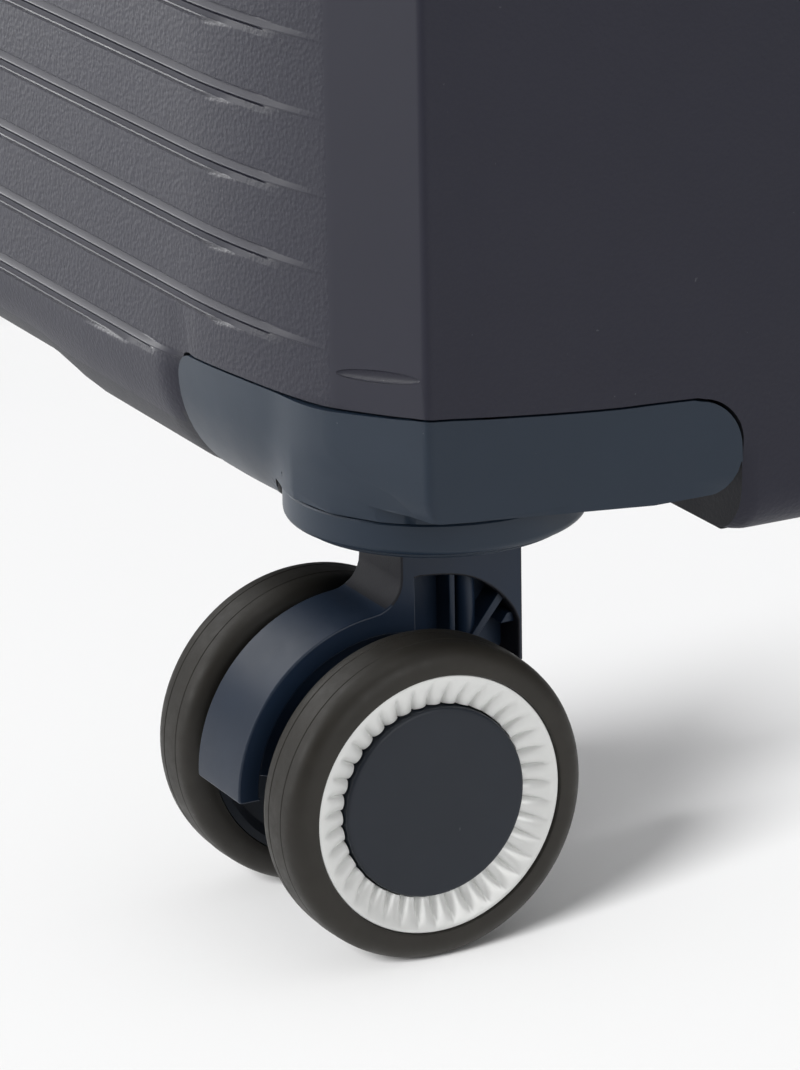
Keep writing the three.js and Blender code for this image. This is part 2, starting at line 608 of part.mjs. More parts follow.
for (const [name, sx, sy] of [
  ["front_right", 1, 1],
  ["front_left", -1, 1],
  ["rear_right", 1, -1],
  ["rear_left", -1, -1],
]) {
  const caster = new THREE.Group();
  caster.position.set(sx * CASTER_X, -sy * CASTER_Y, 0);
  caster.scale.set(sx, sy, 1);
  suitcase.add(caster);
  add("caster_housing_" + name, casterHousing(), casterPlastic(), caster);
  add("caster_fork_" + name, swivelFork(), forkPlastic(), caster);
  const axleReach = PAIR_HALF_WIDTH - AXLE_END;
  const axle = rod("x", AXLE_RADIUS, [-axleReach, axleReach], [0, WHEEL_Y, WHEEL_RADIUS], 10);
  add("caster_axle_" + name, axle, steel(), caster);
  for (const [wheelSide, flip] of [["outer", 1], ["inner", -1]]) {
    const wheel = new THREE.Group();
    wheel.position.set(0, WHEEL_Y, WHEEL_RADIUS);
    wheel.scale.set(flip, 1, 1);
    caster.add(wheel);
    add("wheel_tyre_" + name + "_" + wheelSide, tyre(), rubber(), wheel);
    add("wheel_hub_" + name + "_" + wheelSide, hub(), wheelPlastic(), wheel);
  }
}

export default suitcase;
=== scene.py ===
"""A cabin-size hard shell suitcase on four twin-wheel swivel casters: its visible surfaces.

Lengths are millimetres, but the camera and the lights are placed in metres. +Z is up, the front
broad face looks along -Y, the zipper side is +X and the fabric hinge side is -X. Caster
parts are drawn for the front right corner (+X, -Y) about the swivel axis and mirrored to the rest.
"""

import json
import math
from itertools import product

import bmesh
import bpy
from mathutils import Matrix, Vector, noise

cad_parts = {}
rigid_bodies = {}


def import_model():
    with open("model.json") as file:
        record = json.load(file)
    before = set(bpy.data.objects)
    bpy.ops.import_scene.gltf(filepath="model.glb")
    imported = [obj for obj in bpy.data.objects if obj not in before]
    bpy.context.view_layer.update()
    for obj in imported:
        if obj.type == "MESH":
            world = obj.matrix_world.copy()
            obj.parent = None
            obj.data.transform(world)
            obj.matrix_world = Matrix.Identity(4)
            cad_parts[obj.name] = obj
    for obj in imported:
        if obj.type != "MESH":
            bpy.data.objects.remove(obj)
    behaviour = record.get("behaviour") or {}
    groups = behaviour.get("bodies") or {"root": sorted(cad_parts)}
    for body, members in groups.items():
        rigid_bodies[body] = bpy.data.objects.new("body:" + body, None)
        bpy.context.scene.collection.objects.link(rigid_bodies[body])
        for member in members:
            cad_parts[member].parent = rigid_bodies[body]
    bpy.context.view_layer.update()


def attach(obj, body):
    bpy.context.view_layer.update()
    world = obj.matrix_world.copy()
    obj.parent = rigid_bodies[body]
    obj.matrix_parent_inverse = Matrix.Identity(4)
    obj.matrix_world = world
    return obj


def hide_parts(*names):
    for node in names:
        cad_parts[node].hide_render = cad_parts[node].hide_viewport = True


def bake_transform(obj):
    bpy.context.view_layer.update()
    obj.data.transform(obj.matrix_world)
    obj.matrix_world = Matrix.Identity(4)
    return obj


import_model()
MM = 0.001

# ---- dimensions shared with the frame ----
HALF_W = 190.0
HALF_D = 111.0
SHELL_BOTTOM = 58.5
SHELL_TOP = 532.0
MID_Z = 300.0
WALL = 2.2
BOW_START = 132.6  # the broad faces bend back beyond this distance from the middle
BOW = 0.00287
STRIP_START = 171.0  # a flat satin strip runs down each corner from here to the side face
STRIP_SLOPE = 0.3316
CORNER_CUT = 10.5  # how far the strip's outer edge is behind the broad face
BROAD_FILLET = 21.0
SIDE_FILLET = 7.0
SEAM_HALF = 8.0
GAP = 0.4
PROUD = 2.3
CASTER_INSET = (26.4, 25.6)  # swivel axis to the side face and to the broad face
CASTER_X = HALF_W - CASTER_INSET[0]
CASTER_Y = HALF_D - CASTER_INSET[1]
WHEEL_RADIUS = 25.0
WHEEL_Y = -12.4  # the wheels' axle, behind the swivel axis
AXLE = (0, WHEEL_Y, WHEEL_RADIUS)
PAIR_HALF_WIDTH = 23.9
TYRE_WIDTH = 12.0
CORNERS = {
    "front_right": (1, -1),
    "front_left": (-1, -1),
    "rear_right": (1, 1),
    "rear_left": (-1, 1),
}

# ---- ribs on the broad faces ----
RIB_FIRST = 82.6
RIB_PITCH = 11.6
RIB_COUNT = 38
RIB_END_X = CASTER_X - 10.5  # where the channel under a rib ends
RIB_TAIL = 17.0  # the ridge fades out this much further on
SHORT_RIB_END_X = CASTER_X - 49.0  # the lowest and the highest rib stop early
# A rib's section: distance down from its top edge, and height above the face.
RIB_SECTION = [
    (0.0, 0.0), (0.12, -0.22), (0.36, -0.24), (0.5, -0.1), (1.1, 0.42), (1.35, 0.44),
    (1.48, -0.42), (1.85, -0.5), (2.0, -0.2), (2.9, -0.34), (3.08, -0.48), (3.3, -0.42),
    (3.6, -0.02), (4.1, 0.0),
]

# ---- recess round a caster, local to the swivel axis ----
RECESS_LEFT = -36.2
RECESS_RIGHT = 38.8
# The recess's upper edge against x + y, which grows round the corner from left to right.
RECESS_TOP = [
    (-75, 82.6), (-57, 83.1), (-40, 83.7), (-22, 84.0), (-13, 84.4), (1.5, 85.5), (9, 86.2),
    (13, 86.2), (21.7, 85.2), (32.5, 84.1), (43.3, 83.2), (52, 82.8), (80, 81.2),
]
LEFT_TOP = 83.3  # the recess's two ends, and the radii that round their tops
LEFT_ROUND = 4.0
RIGHT_TOP = 82.2
RIGHT_ROUND = 8.4
WELL_RADIUS = 22.0  # the recess's inner corner in plan
WELL_ROOF = 88.8
FAR = 60.0  # cutters in corner coordinates run out to here
COLLAR_RADIUS = 23.55  # the moulding is full enough to cover the round cup
COLLAR_BLEND = 2.2
COLLAR_TAPER = 0.7
COLLAR_TOP = 90.0
COLLAR_BOTTOM = 68.2
LEFT_WING_BOTTOM = 63.4
RIGHT_WING_BOTTOM = 66.9
CUP_RADIUS = 23.15
LIP_WIDTH_LEFT = 8.0  # the shell rolls in towards the recess over this width
LIP_WIDTH_RIGHT = 3.0
LIP_DEPTH_LEFT = 2.6
LIP_DEPTH_RIGHT = 1.0
LIP_TOP_LEFT = 84.5  # and fades out over a short way below these heights
LIP_TOP_RIGHT = 78.0
LIP_FLARE = 1.2  # at its right foot it is this much deeper
BOTTOM_RAISE = 2.8  # the middle of the underside stands this much higher
RAISE_FLAT_X = 66.0
RAISE_RAMP = 18.0
SCOOP_Z = 91.0  # the moulded crease on each corner strip
SCOOP_SIZE = (8.6, 0.6, 1.0)  # half its length, its depth and half its height
SCOOP_LEAN = 0.12


# ---- mesh helpers ----
def link(name, mesh):
    """Puts new data into the scene under a name."""
    obj = bpy.data.objects.new(name, mesh)
    bpy.context.scene.collection.objects.link(obj)
    return obj


def make(name, points, faces):
    """An object from points in millimetres, its normals turned out and its doubles merged."""
    mesh = bpy.data.meshes.new(name)
    mesh.from_pydata([(x * MM, y * MM, z * MM) for x, y, z in points], [], faces)
    edit = bmesh.new()
    edit.from_mesh(mesh)
    bmesh.ops.remove_doubles(edit, verts=edit.verts, dist=1e-6)
    bmesh.ops.dissolve_degenerate(edit, dist=1e-7, edges=edit.edges)
    bmesh.ops.recalc_face_normals(edit, faces=edit.faces)
    edit.to_mesh(mesh)
    edit.free()
    return link(name, mesh)


def settle(obj):
    """Applies every modifier on the object."""
    graph = bpy.context.evaluated_depsgraph_get()
    mesh = bpy.data.meshes.new_from_object(obj.evaluated_get(graph), depsgraph=graph)
    old = obj.data
    obj.modifiers.clear()
    obj.data = mesh
    bpy.data.meshes.remove(old)
    return obj


def combine(obj, others, operation):
    """Joins, cuts or crosses the object with others, which are used up."""
    for other in others:
        boolean = obj.modifiers.new("boolean", "BOOLEAN")
        boolean.operation = operation
        boolean.solver = "MANIFOLD"
        boolean.object = other
        settle(obj)
        discard(other)
    return obj


def soften(obj, width, segments=2, angle=35):
    """Rounds the edges sharper than angle and shades the rest smooth."""
    bevel = obj.modifiers.new("bevel", "BEVEL")
    bevel.width = width * MM
    bevel.segments = segments
    bevel.limit_method = "ANGLE"
    bevel.angle_limit = math.radians(angle)
    bevel.use_clamp_overlap = True
    settle(obj)
    return shade(obj)


def shade(obj, angle=50):
    """Smooth shading, with edges sharper than angle kept."""
    mesh = obj.data
    mesh.shade_smooth()
    mesh.set_sharp_from_angle(angle=math.radians(angle))
    weighted = obj.modifiers.new("weighted", "WEIGHTED_NORMAL")
    weighted.keep_sharp = True
    return settle(obj)


def mirrored(obj, name, sx, sy, offset):
    """A copy of the object with x and y multiplied by sx and sy, then moved."""
    mesh = obj.data.copy()
    mesh.transform(Matrix.Diagonal((sx, sy, 1, 1)))
    if sx * sy < 0:
        mesh.flip_normals()
    mesh.transform(Matrix.Translation(Vector(offset) * MM))
    return link(name, mesh)


def discard(obj):
    """Removes a helper object and its mesh."""
    mesh = obj.data
    bpy.data.objects.remove(obj)
    bpy.data.meshes.remove(mesh)


def joined(name, objs):
    """One object from several, which are used up."""
    edit = bmesh.new()
    for obj in objs:
        edit.from_mesh(obj.data)
        discard(obj)
    mesh = bpy.data.meshes.new(name)
    edit.to_mesh(mesh)
    edit.free()
    return link(name, mesh)


def grid_faces(rings):
    """Quads between rows of point numbers."""
    return [[low[i], low[i + 1], high[i + 1], high[i]]
            for low, high in zip(rings, rings[1:]) for i in range(len(low) - 1)]


def slab(name, below, above):
    """A closed solid between two grids of points, each given row by row."""
    rows, n = len(below), len(below[0])
    size = rows * n
    faces = []
    for k in range(rows - 1):
        for a in range(k * n, k * n + n - 1):
            quad = [a, a + 1, a + n + 1, a + n]
            faces += [quad, [size + b for b in quad]]
    rim = [*range(n), *range(2 * n - 1, size, n)]
    rim += [*range(size - 2, size - n - 1, -1), *range(size - 2 * n, 0, -n)]
    faces += [[a, b, size + b, size + a] for a, b in zip(rim, rim[1:] + rim[:1])]
    return make(name, [point for row in below + above for point in row], faces)


def paint(obj, finishes, choose):
    """Gives each face one of the finishes: `choose` says which, from its place and direction."""
    mesh = obj.data
    mesh.materials.clear()
    for finish in finishes:
        mesh.materials.append(finish)
    for face in mesh.polygons:
        face.material_index = choose(*(c / MM for c in face.center), face.normal)


def swap(point, axis):
    """A point drawn in the plane across `axis`: (u, v, along) to (x, y, z)."""
    u, v, along = point
    if axis == "x":
        return (along, u, v)
    if axis == "y":
        return (u, along, v)
    return (u, v, along)


def prism(name, outline, axis, low, high):
    """A solid with a flat outline: (y, z) across x, (x, z) across y or (x, y) across z."""
    n = len(outline)
    points = [swap((u, v, along), axis) for along in (low, high) for u, v in outline]
    faces = [list(range(n)), list(range(n, 2 * n)), *tube_faces(2, n, False)]
    return make(name, points, faces)


def block(name, x, y, z):
    """A box from its two ends along each axis."""
    return prism(name, [(x[0], y[0]), (x[1], y[0]), (x[1], y[1]), (x[0], y[1])], "z", *z)


def lathe(name, profile, axis, centre, segments, wave=None):
    """A solid turned about an axis from a closed profile of (radius, along) points."""
    points = []
    for k in range(segments):
        turn = 2 * math.pi * k / segments
        for radius, along in profile:
            shift = wave(radius, turn) if wave else 0.0
            place = swap((radius * math.cos(turn), radius * math.sin(turn), along + shift), axis)
            points.append([c + at for c, at in zip(place, centre)])
    return make(name, points, tube_faces(segments, len(profile), True))


def tube_faces(rounds, n, closed):
    """Quads between rings of n points, the last ring joined to the first where closed."""
    faces = []
    for k in range(rounds if closed else rounds - 1):
        a, b = k * n, (k + 1) % rounds * n
        faces += [[a + i, a + (i + 1) % n, b + (i + 1) % n, b + i] for i in range(n)]
    return faces


def arc(centre, radius, start, end, count):
    """Points on an arc in a plane, angles in degrees."""
    turns = [math.radians(start + (end - start) * i / count) for i in range(count + 1)]
    return [(centre[0] + radius * math.cos(a), centre[1] + radius * math.sin(a)) for a in turns]


def rounded(u, v, r, count=6):
    """A rectangle with corners rounded by r, `count` steps to each."""
    corners = ((u[1] - r, v[0] + r), (u[1] - r, v[1] - r), (u[0] + r, v[1] - r), (u[0] + r, v[0] + r))
    return [p for k, at in enumerate(corners) for p in arc(at, r, 90 * k - 90, 90 * k, count)]


def between(table, at):
    """Straight-line reading of a table of (position, value)."""
    if at <= table[0][0]:
        return table[0][1]
    for (a, va), (b, vb) in zip(table, table[1:]):
        if at <= b:
            return va + (vb - va) * (at - a) / (b - a)
    return table[-1][1]


def ease(t):
    """A smooth step from 0 to 1."""
    t = min(max(t, 0.0), 1.0)
    return t * t * (3 - 2 * t)


def smooth_line(points, count):
    """A rounded line through the points, `count` steps between two."""
    found = []
    for i in range(len(points) - 1):
        p0 = points[max(i - 1, 0)]
        p1, p2 = points[i], points[i + 1]
        p3 = points[min(i + 2, len(points) - 1)]
        for k in range(count):
            t = k / count
            a = [0.5 * ((2 * q1) + (q2 - q0) * t + (2 * q0 - 5 * q1 + 4 * q2 - q3) * t * t
                 + (3 * q1 - q0 - 3 * q2 + q3) * t ** 3) for q0, q1, q2, q3 in zip(p0, p1, p2, p3)]
            found.append(tuple(a))
    return found + [points[-1]]


# ---- materials ----
def node(tree, kind, out, sockets, **settings):
    """A shader node's output: its sockets are given numbers, or linked to other outputs."""
    made = tree.nodes.new("ShaderNode" + kind)
    for setting, value in settings.items():
        setattr(made, setting, value)
    for socket, value in sockets.items():
        if isinstance(value, bpy.types.NodeSocket):
            tree.links.new(value, made.inputs[socket])
        else:
            made.inputs[socket].default_value = value
    return made.outputs[out]


def texture(tree, place, kind, size, detail=3.0, rough=0.55, stretch=(1, 1, 1)):
    """A noise or cell pattern whose features are about `size` millimetres across."""
    scale = [k / (size * MM) for k in stretch]
    at = node(tree, "Mapping", "Vector", {"Vector": place, "Scale": scale})
    if kind == "cells":
        return node(tree, "TexVoronoi", "Distance",
                    {"Vector": at, "Scale": 1.0, "Smoothness": 0.6}, feature="SMOOTH_F1")
    return node(tree, "TexNoise", "Fac",
                {"Vector": at, "Scale": 1.0, "Detail": detail, "Roughness": rough})


def spread(tree, value, low, high, from_low=0.3, from_high=0.7):
    """Maps part of a pattern's range to another range."""
    return node(tree, "MapRange", "Result", {"Value": value, "From Min": from_low,
                                             "From Max": from_high, "To Min": low, "To Max": high})


def mixed(tree, factor, first, second, blend="MIX"):
    """Two colours mixed by a factor."""
    return node(tree, "Mix", "Result", {"Factor": factor, "A": first, "B": second},
                data_type="RGBA", blend_type=blend)


def bumped(tree, height, depth, below=None):
    """A bump whose height is depth millimetres, on top of the bump below."""
    sockets = {"Distance": depth * MM, "Height": height}
    if below is not None:
        sockets["Normal"] = below
    return node(tree, "Bump", "Normal", sockets)


def scaled(colour, factor, more=0.0):
    """A colour made darker or lighter, with its alpha."""
    return (*(min(c * factor + more, 1) for c in colour), 1)


def surface(name, colour, roughness, *, mottle=(25.0, 0.06), scuff=0.04, grain=(), speckle=0.0,
            metallic=0.0, specular=0.34, sheen=0.0, stretch=(1, 1, 1)):
    """A procedural finish: `grain` lists (kind, size, depth) bumps, coarse to fine."""
    made = bpy.data.materials.new(name)
    made.use_nodes = True
    tree = made.node_tree
    shader = tree.nodes["Principled BSDF"]
    place = tree.nodes.new("ShaderNodeTexCoord").outputs["Object"]
    size, amount = mottle
    cloud = texture(tree, place, "noise", size, detail=5, stretch=stretch)
    shown = mixed(tree, spread(tree, cloud, 0, 1), scaled(colour, 1 - amount),
                  scaled(colour, 1 + amount))
    if speckle:
        dust = texture(tree, place, "noise", 1.3, detail=2)
        shown = mixed(tree, spread(tree, dust, 0, 1, 0.76, 0.8), shown, scaled(colour, 1, speckle))
    tree.links.new(shown, shader.inputs["Base Color"])
    worn = texture(tree, place, "noise", size * 0.4, detail=6, rough=0.65, stretch=stretch)
    gloss = spread(tree, worn, roughness - scuff, roughness + scuff)
    tree.links.new(gloss, shader.inputs["Roughness"])
    normal = None
    for kind, cell, depth in grain:
        height = texture(tree, place, kind, cell, stretch=stretch)
        normal = bumped(tree, height, depth, normal)
    tree.links.new(normal, shader.inputs["Normal"])
    shader.inputs["Metallic"].default_value = metallic
    shader.inputs["Specular IOR Level"].default_value = specular
    shader.inputs["Sheen Weight"].default_value = sheen
    return made


NAVY = (0.010, 0.0103, 0.022)
SLATE = (0.010, 0.020, 0.036)
FORK_NAVY = (0.009, 0.0195, 0.041)
SHELL_GRAIN = surface("shell_grain", NAVY, 0.5, mottle=(60, 0.05), speckle=0.05,
                      grain=[("cells", 0.75, 0.055), ("noise", 0.4, 0.04)])
SHELL_SATIN = surface("shell_satin", NAVY, 0.46, mottle=(40, 0.05), grain=[("noise", 0.3, 0.004)])
SHELL_COARSE = surface("shell_coarse", (0.030, 0.031, 0.038), 0.62,
                       grain=[("noise", 0.9, 0.12), ("noise", 0.35, 0.06)])
HOUSING_SATIN = surface("housing_satin", SLATE, 0.44, mottle=(30, 0.07), speckle=0.05,
                        grain=[("noise", 0.35, 0.006), ("noise", 8.0, 0.02)])
FORK_SATIN = surface("fork_satin", FORK_NAVY, 0.42, mottle=(12, 0.1), speckle=0.04,
                     grain=[("noise", 0.3, 0.006)])
# The neck's grained plastic. Its colour is darker than the plastic's own: painted shade, for the neck
# lies in shade under the case.
FORK_GRAIN_AND_PAINTED_SHADE = surface("fork_grain_and_painted_shade", (0.010, 0.0105, 0.016), 0.55,
                     grain=[("noise", 0.5, 0.03), ("noise", 0.25, 0.015)])
RUBBER = surface("tyre_rubber", (0.021, 0.0185, 0.0145), 0.52, mottle=(6, 0.12), scuff=0.08,
                 speckle=0.05, grain=[("noise", 0.5, 0.012), ("noise", 2.5, 0.01)])
RING_SILVER = surface("ring_silver", (0.74, 0.745, 0.73), 0.34, mottle=(5, 0.03), metallic=0.15,
                      grain=[("noise", 0.4, 0.004)])
CAP_NAVY = surface("cap_navy", (0.011, 0.015, 0.023), 0.42, mottle=(8, 0.05), speckle=0.04,
                   grain=[("noise", 0.35, 0.005)])
AXLE_STEEL = surface("axle_steel", (0.55, 0.55, 0.56), 0.3, metallic=1.0, mottle=(3, 0.05),
                     grain=[("noise", 0.3, 0.004)], stretch=(0.1, 1, 1))


# ---- the case's outside ----
EDGE_ROUND = 1.3  # half the width over which each edge of the corner strip is rounded


def section(z, inset):
    """Half extents in plan at a height, where the faces turn under and over."""
    height = min(z - SHELL_BOTTOM, SHELL_TOP - z) - inset

    def drawn_in(radius):
        """How far a face has turned in where its fillet has this radius."""
        r = radius - inset
        if height >= r:
            return 0.0
        return r - math.sqrt(max(r * r - (r - max(height, 0.0)) ** 2, 0.0))

    return HALF_W - inset - drawn_in(SIDE_FILLET), HALF_D - inset - drawn_in(BROAD_FILLET)


def bow(x):
    """How far the broad face has bent back at a distance from the middle."""
    return BOW * max(abs(x) - BOW_START, 0.0) ** 2


def strip_y(x, inset=0.0):
    """The corner strip's distance from the middle plane."""
    return HALF_D - CORNER_CUT + STRIP_SLOPE * (HALF_W - abs(x)) - math.hypot(1, STRIP_SLOPE) * inset


def corner_line(x, y, inset, edge):
    """Plan points from the broad face over the strip to the side face, first and last kept.

    The two edges of the strip are rounded; where the faces turn under it narrows to `edge`."""
    room = STRIP_SLOPE ** 2 - 4 * BOW * (strip_y(BOW_START, inset) - y)
    start = BOW_START + (STRIP_SLOPE - math.sqrt(max(room, 0.0))) / (2 * BOW)
    start = min(start, x - 3 * edge)
    a = Vector((start, bow(start) - y))
    b = Vector((x, -min(y - bow(x), strip_y(x, inset))))
    slant = (b - a).normalized()
    bend = Vector((1, 2 * BOW * (start - BOW_START))).normalized()
    line = []
    for at, before, after in ((a, bend, slant), (b, slant, Vector((0, 1)))):
        start, end = at - before * edge, at + after * edge
        for t in steps(0, 1, 4):
            line.append((1 - t) ** 2 * start + 2 * t * (1 - t) * at + t * t * end)
    return line


def case_columns(x, y, inset, mouth, xs, ys):
    """Plan points of the front right quarter from x = 0 round to the seam, with their kinds."""
    line = corner_line(x, y, inset, EDGE_ROUND)
    edge_x, edge_y = line[0].x, line[-1].y
    last = xs[-1]
    across = xs + [last + (edge_x - last) * t for t in (0.34, 0.67)]
    found = [(u, bow(u) - y, "broad") for u in across]
    found += [(p.x, p.y, "corner") for p in line]
    first = -ys[-1]
    found += [(x, first + (edge_y - first) * t, "side") for t in (0.67, 0.34)]
    found += [(x, -v, "side") for v in reversed(ys)]
    return found + [(x, -mouth, "side")]


def steps(low, high, count):
    """Evenly spaced numbers from low to high."""
    return [low + (high - low) * i / count for i in range(count + 1)]


BROAD_COLUMNS = [
    *steps(0, 60, 3), *steps(66, 84, 4), *steps(92, 108, 2), *steps(111, 119, 4),
    *steps(120.5, 131, 9), *steps(134, 150, 6), *steps(151.5, 163, 8),
]
SIDE_COLUMNS = [
    *steps(20, 38, 2), *steps(41, 44, 2), *steps(44.6, 49, 6), *steps(56, 76, 2),
]


def case_rows(ribbed):
    """Heights of the rings, from the underside to the top."""
    rows = []
    for angle in steps(0, math.pi / 2, 16):
        rise = BROAD_FILLET * (1 - math.cos(angle))
        rows += [SHELL_BOTTOM + rise, SHELL_TOP - rise]
    if ribbed:
        for k in range(RIB_COUNT):
            rows += [RIB_FIRST + k * RIB_PITCH - down for down, _ in RIB_SECTION]
    else:
        rows += steps(90, 500, 4)
    rows = sorted(rows)
    return [z for z, after in zip(rows, [*rows[1:], math.inf]) if after - z > 0.02]


def rib_height(x, z):
    """How far the ribbed face stands out at a point."""
    k = min(max(math.ceil((z - RIB_FIRST) / RIB_PITCH), 0), RIB_COUNT - 1)
    down = RIB_FIRST + k * RIB_PITCH - z
    if not 0 < down < RIB_SECTION[-1][0]:
        return 0.0
    end = SHORT_RIB_END_X if k in (0, RIB_COUNT - 1) else RIB_END_X
    past = abs(x) - end
    height = between(RIB_SECTION, down)
    if height > 0:
        return height * (1 - ease((past - 2) / RIB_TAIL))
    depth = 1 - ease((past - 0.5) / 7)
    if down > 1.4:
        # The channel runs out in a wedge along the ridge.
        narrow = 1 - 0.75 * ease((past + 16) / 20)
        depth *= 1 - ease((down - 1.5 - 1.9 * narrow) / 0.3)
    return height * depth


def recess_distance(x, z):
    """How far a point on the broad face is outside the recess's left end, in corner coordinates."""
    radius = LEFT_ROUND
    top = between(RECESS_TOP, RECESS_LEFT - CASTER_INSET[1]) + 0.8
    u = (RECESS_LEFT + radius) - x
    v = z - (top - radius)
    if v <= 0:
        return u - radius
    return math.hypot(max(u, 0), v) - radius if u > 0 else v - radius


def lip(local, kind, z):
    """How far the face is drawn in beside a caster's recess."""
    if kind == "broad":
        away = recess_distance(local, z)
        if local > RECESS_LEFT + LEFT_ROUND or away > LIP_WIDTH_LEFT:
            return 0.0
        level = ease((LIP_TOP_LEFT - z) / 7)
        return LIP_DEPTH_LEFT * level * (1 - max(away, 0) / LIP_WIDTH_LEFT) ** 2
    away = local - RECESS_RIGHT
    if not -4 < away < LIP_WIDTH_RIGHT:
        return 0.0
    level = ease((LIP_TOP_RIGHT - z) / 8)
    flare = 1 + LIP_FLARE * ease((COLLAR_BOTTOM - 0.2 - z) / 9)
    return LIP_DEPTH_RIGHT * flare * level * (1 - max(away, 0) / LIP_WIDTH_RIGHT) ** 2


def raised(x, z):
    """The middle of the underside stands higher than its ends."""
    share = 1 - min(max((z - SHELL_BOTTOM) / BROAD_FILLET, 0), 1)
    return BOTTOM_RAISE * share * (1 - ease((abs(x) - RAISE_FLAT_X) / RAISE_RAMP))


def collar(x, y, z):
    """Plan place of a wall point, pushed out where it would lie inside the caster's collar."""
    if not LEFT_WING_BOTTOM - 1 <= z <= COLLAR_TOP:
        return x, y
    dx, dy = abs(x) - CASTER_X, y + CASTER_Y
    reach = math.hypot(dx, dy)
    radius = COLLAR_RADIUS - COLLAR_TAPER * ease((z - 74) / 10)
    blend = max(COLLAR_BLEND - abs(reach - radius), 0.0) / COLLAR_BLEND
    grow = (max(reach, radius) + blend * blend * COLLAR_BLEND / 4) / reach
    return math.copysign(CASTER_X + dx * grow, x), dy * grow - CASTER_Y


def case_half(name, inset, mouth, ribbed, collared=False):
    """The front half of the case as one closed solid, `inset` thinner, that ends at y = -mouth."""
    ys = [v for v in SIDE_COLUMNS if v > mouth]
    points = []
    rings = []
    for z in case_rows(ribbed):
        x, y = section(z, inset)
        ring = []
        quarter = case_columns(x, y, inset, mouth, BROAD_COLUMNS, ys)
        half = [(-u, v, kind) for u, v, kind in reversed(quarter)] + quarter[1:]
        for u, v, kind in half:
            if ribbed and kind == "broad":
                v -= rib_height(u, z) - lip(abs(u) - CASTER_X, kind, z)
            if ribbed and kind == "side":
                u -= math.copysign(lip(v + CASTER_Y, kind, z), u)
            if collared and kind != "side" and u > 0:
                u, v = collar(u, v, z)
            height = min(max(z, SHELL_BOTTOM + inset), SHELL_TOP - inset)
            ring.append(len(points))
            points.append((u, v, height + raised(u, z)))
        rings.append(ring)
    faces = grid_faces(rings)
    floor, floor_edge = cap_faces(points, rings[0], len(ys) + 3)
    roof, roof_edge = cap_faces(points, rings[-1], len(ys) + 3)
    mouth_edge = floor_edge + [ring[-1] for ring in rings[1:-1]] + roof_edge[::-1]
    mouth_edge += [ring[0] for ring in rings[-2:0:-1]]
    return make(name, points, faces + floor + roof + [mouth_edge])


def cap_faces(points, ring, side):
    """A grid over the underside or the top, and its edge in the seam plane."""
    left, across, right = ring[:side], ring[side:-side], ring[-side:][::-1]
    grid = []
    for a, b in zip(left, right):
        edge, y, z = points[a]
        first = len(points)
        for c in across:
            x = points[c][0]
            points.append((x, y, z - raised(edge, z) + raised(x, z)))
        grid.append([a, *range(first, len(points)), b])
    faces = grid_faces(grid)
    last = grid[-1]
    faces += [[last[i], last[i + 1], ring[side + i], ring[side + i - 1]]
              for i in range(len(across))]
    return faces, grid[0]


def well_plan(grow):
    """A caster's well in plan, in corner coordinates, its inner corner rounded."""
    left, right = RECESS_LEFT - grow, RECESS_RIGHT + grow
    turn = arc((left + WELL_RADIUS, right - WELL_RADIUS), WELL_RADIUS, 90, 180, 8)
    return [(left, -FAR), (FAR, -FAR), (FAR, right), *turn]


def recess(name, grow, bottom):
    """The space a caster's moulding fills, in corner coordinates, larger by `grow`."""
    top = [(w, z + grow) for w, z in smooth_line(RECESS_TOP, 3)]
    outline = [(top[0][0], bottom), *top, (top[-1][0], bottom)]
    reach = 1.5 * FAR * math.sqrt(0.5)
    ends = [[(w / 2 + along, w / 2 - along, z) for w, z in outline] for along in (-reach, reach)]
    n = len(outline)
    faces = [list(range(n)), list(range(n, 2 * n)), *tube_faces(2, n, False)]
    solid = make(name, ends[0] + ends[1], faces)
    left, right = RECESS_LEFT - grow, RECESS_RIGHT + grow
    low, high = bottom - 1, SCOOP_Z + 8
    turn = arc((left + LEFT_ROUND, LEFT_TOP + grow - 4.2), LEFT_ROUND, 180, 96, 6)
    front = [(left, low), *turn, (left + 8, 85.5 + grow), (left + 20, high), (FAR, high),
             (FAR, low)]
    turn = arc((right - RIGHT_ROUND, RIGHT_TOP + grow - 8.3), RIGHT_ROUND, 82, 0, 10)
    side = [(-FAR, low), (-FAR, high), (right - 26, high), (right - 14, 84.2 + grow), *turn,
            (right, low)]
    for shape, outline, axis, ends in (("front", front, "y", (-FAR, FAR)),
                                       ("side", side, "x", (-FAR, FAR)),
                                       ("plan", well_plan(grow), "z", (bottom - 2, 2 * FAR))):
        combine(solid, [prism(shape, outline, axis, *ends)], "INTERSECT")
    return solid


def at_corner(obj, name, corner):
    """A copy of a caster part at one of the four corners."""
    sx, sy = CORNERS[corner]
    return mirrored(obj, name, sx, -sy, (sx * CASTER_X, sy * CASTER_Y, 0))


def inner_well(grow):
    """The shell's own wall round a recess, seen from inside the case, in corner coordinates."""
    return prism("inner_well", well_plan(grow), "z", 20, WELL_ROOF + grow)


def scoop(obj):
    """A small moulded crease on each corner strip just above the caster."""
    middle = (STRIP_START + HALF_W) / 2
    face = -strip_y(middle)
    slope = math.atan(STRIP_SLOPE)
    half, depth, height = SCOOP_SIZE
    rings, around = 10, 20
    for sx in (-1, 1):
        points = []
        for i in range(rings + 1):
            lean = math.pi * i / rings
            along = half * math.cos(lean)
            for k in range(around):
                a = 2 * math.pi * k / around
                out = depth * math.sin(lean) * math.cos(a)
                up = height * math.sin(lean) * math.sin(a) + SCOOP_LEAN * along
                x = middle + along * math.cos(slope) + out * math.sin(slope)
                y = face + along * math.sin(slope) - out * math.cos(slope)
                points.append((sx * x, y, SCOOP_Z + up))
        cutter = make("scoop", points, tube_faces(rings + 1, around, False))
        combine(obj, [cutter], "DIFFERENCE")


